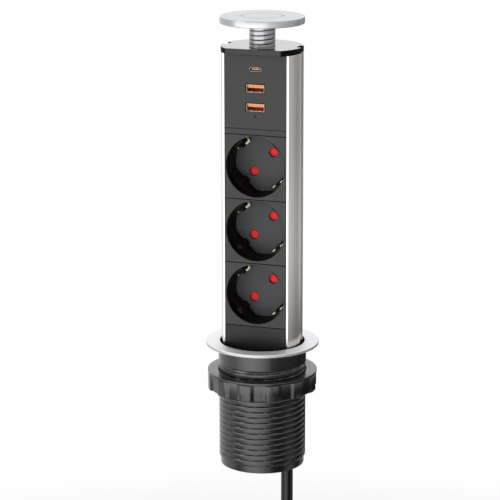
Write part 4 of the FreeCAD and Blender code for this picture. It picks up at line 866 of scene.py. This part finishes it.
BACK_HALF, BACK_DEPTH, BACK_WAVE, BACK_THICK = 5.7, -12.2, 0.25, 0.0006
for number in (1, 2):
    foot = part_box(f"usb_a_shell_{number}")[0].z * 1000 + 0.4
    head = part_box(f"usb_a_tongue_{number}")[0].z * 1000 + 0.1
    across, up = np.meshgrid(np.linspace(-BACK_HALF, BACK_HALF, 9), np.linspace(foot, head, 5))
    points = np.stack([across, BACK_DEPTH + BACK_WAVE * np.cos(across * 2.2), up], -1) * 0.001
    back = grid_piece(f"port_back_{number}", points)
    thick = back.modifiers.new("wall", "SOLIDIFY")
    thick.thickness = BACK_THICK
    dress(smooth(back, 60), "mast", finish=PAINTED_GLOW_ORANGE)
    tongue = edged_copy(f"usb_a_tongue_{number}", f"port_tongue_{number}", 0.4)
    dress(tongue, "mast", f"usb_a_tongue_{number}")
    # The tongue's bevelled edges take a pale orange: a painted highlight.
    tongue.data.materials.append(ORANGE_EDGE_HIGHLIGHT)
    tongue.modifiers["worn_edges"].material = 1

# %% [markdown]
# The cap over the mast is polished on top only. Its flat front is textured like the modules below it,
# and its rim is painted a black with no gloss: painted shade. Each face takes its finish by where it
# looks.

# %% Cap's front and rim
cap = scene.objects["mast_cap"]
centres, facing = face_places(cap)
finish_by_face(cap, (FINISHES["matte_black"], SHADE_BLACK),
               np.where(facing[:, 2] > 0.5, 0, np.where(facing[:, 1] < -0.98, 1, 2)))

# %% [markdown]
# ## Contact springs in the charging ports
# Inside each large port, two bent strips of nickel-plated steel press on the plug. They lie along the
# lower wall and catch a glint. Each is a narrow strip whose height is a sine hump, then thickened.

# %% Port springs
LEAF_HALF, LEAF_OFFSET, LEAF_FRONT, LEAF_LENGTH, LEAF_FOOT, LEAF_HUMP = 0.8, 2.9, -13.7, 5.5, 0.45, 0.75
x, t = np.meshgrid((-LEAF_HALF, LEAF_HALF), np.linspace(0, 1, 13))
for number in (1, 2):
    low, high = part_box(f"usb_a_shell_{number}")
    hump = low.z * 1000 + LEAF_FOOT + LEAF_HUMP * np.sin(np.pi * t)
    strips = [np.stack([x + offset, LEAF_FRONT + LEAF_LENGTH * t, hump], -1) * 0.001
              for offset in (-LEAF_OFFSET, LEAF_OFFSET)]
    leaf = joined(f"port_springs_{number}", [grid_piece("leaf", strip) for strip in strips])
    thick = leaf.modifiers.new("sheet", "SOLIDIFY")
    thick.thickness = 0.0002
    dress(smooth(leaf, 60), "mast", finish=FINISHES["nickel"])

# %% [markdown]
# ## Trim ring
# The ring that lies on the worktop is spun from 0.8 mm sheet. Its outer edge is folded down over the
# sleeve's flange, so it has a soft round rim, and its inner edge is plain.

# %% Trim ring
RING_BORE, RING_RADIUS, RING_TOP, SHEET, FOLD_END = 28.6, 38.0, 2.0, 0.8, 0.1
under, wall = RING_TOP - SHEET, RING_RADIUS - SHEET
outline = rounded([(RING_BORE, under, 0.2), (wall, under, 0), (wall, FOLD_END, 0),
                   (RING_RADIUS, FOLD_END, 0.15), (RING_RADIUS, RING_TOP, 0.4), (RING_BORE, RING_TOP, 0.3)])
trim = turned("trim_ring", outline, 180)
dress(trim, "worktop_sleeve", "flange_ring", finish=PRESSED_ALUMINIUM)
centres, facing = face_places(trim)
# The upright faces of the ring take a darker aluminium: painted shade.
finish_by_face(trim, (RIM_SHADE_ALUMINIUM,), np.where(np.abs(facing[:, 2]) < 0.3, 1, 0))

# %% [markdown]
# ## The ribbed sleeve
# The sleeve goes down through the worktop, and its nut climbs a coarse right-hand thread. Seen from the
# side the thread is a stack of broad flat ribs with narrow dark grooves between them. Its radius is
# the root, plus the thread's depth times the square root of one minus u to the sixth, where u runs
# from -1 to 1 over each rib, and the ribs fade in at the top and out at the plain lower end.

# %% Sleeve
ROOT, RIB_DEPTH, PITCH, BORE, NECK = 28.32, 0.96, 3.79, 27.5, 28.6
THREAD_TOP, THREAD_END, SLEEVE_END, COLLAR_END, FLANGE = -12.4, -79.2, -83.8, -12.0, 37.1
THREAD_ROWS = 330
thread = np.linspace(THREAD_TOP, THREAD_END, THREAD_ROWS)
top = rounded([(NECK, 1.2, 0), (FLANGE, 1.2, 0.2), (FLANGE, 0.5, 0), (29.6, 0.5, 0), (29.6, COLLAR_END, 0.3)])
foot = rounded([(ROOT, THREAD_END - 0.2, 0), (ROOT, SLEEVE_END, 0.3), (BORE, SLEEVE_END, 0.2),
                (BORE, COLLAR_END, 0), (NECK, COLLAR_END, 0)])
outline = np.concatenate([top, np.stack([np.full(THREAD_ROWS, ROOT), thread], -1), foot])
angle = np.linspace(0, 2 * np.pi, 132, endpoint=False)
radius, height = outline[:, :1], outline[:, 1:]
on_thread = np.zeros(len(outline))
on_thread[len(top):len(top) + THREAD_ROWS] = 1
u = 2 * ((height / PITCH - angle / (2 * np.pi) + 0.5) % 1.0) - 1
ramp = np.clip((THREAD_TOP - height) / 1.5, 0, 1) * np.clip((height - THREAD_END) / 1.0, 0, 1)
rib = RIB_DEPTH * np.sqrt(np.clip(1 - u ** 6, 0, 1)) * ramp * on_thread[:, None]
grown = radius + rib
points = np.stack([grown * np.cos(angle), grown * np.sin(angle), height + 0 * angle], -1) * 0.001
sleeve = smooth(weld(grid_piece("ribbed_sleeve", points, close_across=True, close_along=True)), 60)
dress(sleeve, "worktop_sleeve", "threaded_sleeve")

# %% [markdown]
# ## Nut and washer
# Under the worktop a slip washer and a ring nut clamp the sleeve. Twelve lugs give the hand a grip. The
# nut's outer radius is a square-ish wave round its axis: a steep curve of the cosine of twelve times
# the angle, from the root to the lugs' tips.

# %% Nut and washer
WASHER_BORE, WASHER_RADIUS, WASHER_TOP, WASHER_FOOT = 29.9, 36.9, -18.0, -19.5
outline = rounded([(WASHER_BORE, WASHER_FOOT, 0.2), (WASHER_RADIUS, WASHER_FOOT, 0.3),
                   (WASHER_RADIUS, WASHER_TOP, 0.3), (WASHER_BORE, WASHER_TOP, 0.2)])
washer = turned("slip_washer", outline)
dress(washer, "clamp_washer", "clamp_washer")

NUT_BORE, NUT_ROOT, NUT_TOP, NUT_FOOT = 29.6, 35.2, -19.6, -31.1
LUGS, LUG_HEIGHT, LUG_STEEP, LUG_FROM = 12, 1.7, 3.5, 32.0
outline = rounded([(NUT_BORE, NUT_FOOT, 0.5), (NUT_ROOT, NUT_FOOT, 0.9), (NUT_ROOT, NUT_TOP, 0.9),
                   (NUT_BORE, NUT_TOP, 0.5)], 6)
angle = np.linspace(0, 2 * np.pi, 288, endpoint=False)
radius, height = outline[:, :1], outline[:, 1:]
lug = LUG_HEIGHT * (0.5 + 0.5 * np.tanh(LUG_STEEP * np.cos(LUGS * angle)) / math.tanh(LUG_STEEP))
grown = radius + lug * np.clip((radius - LUG_FROM) / (NUT_ROOT - LUG_FROM), 0, 1)
points = np.stack([grown * np.cos(angle), grown * np.sin(angle), height + 0 * angle], -1) * 0.001
nut = smooth(weld(grid_piece("ring_nut", points, close_across=True, close_along=True)), 60)
dress(nut, "clamp_nut", "clamp_nut")
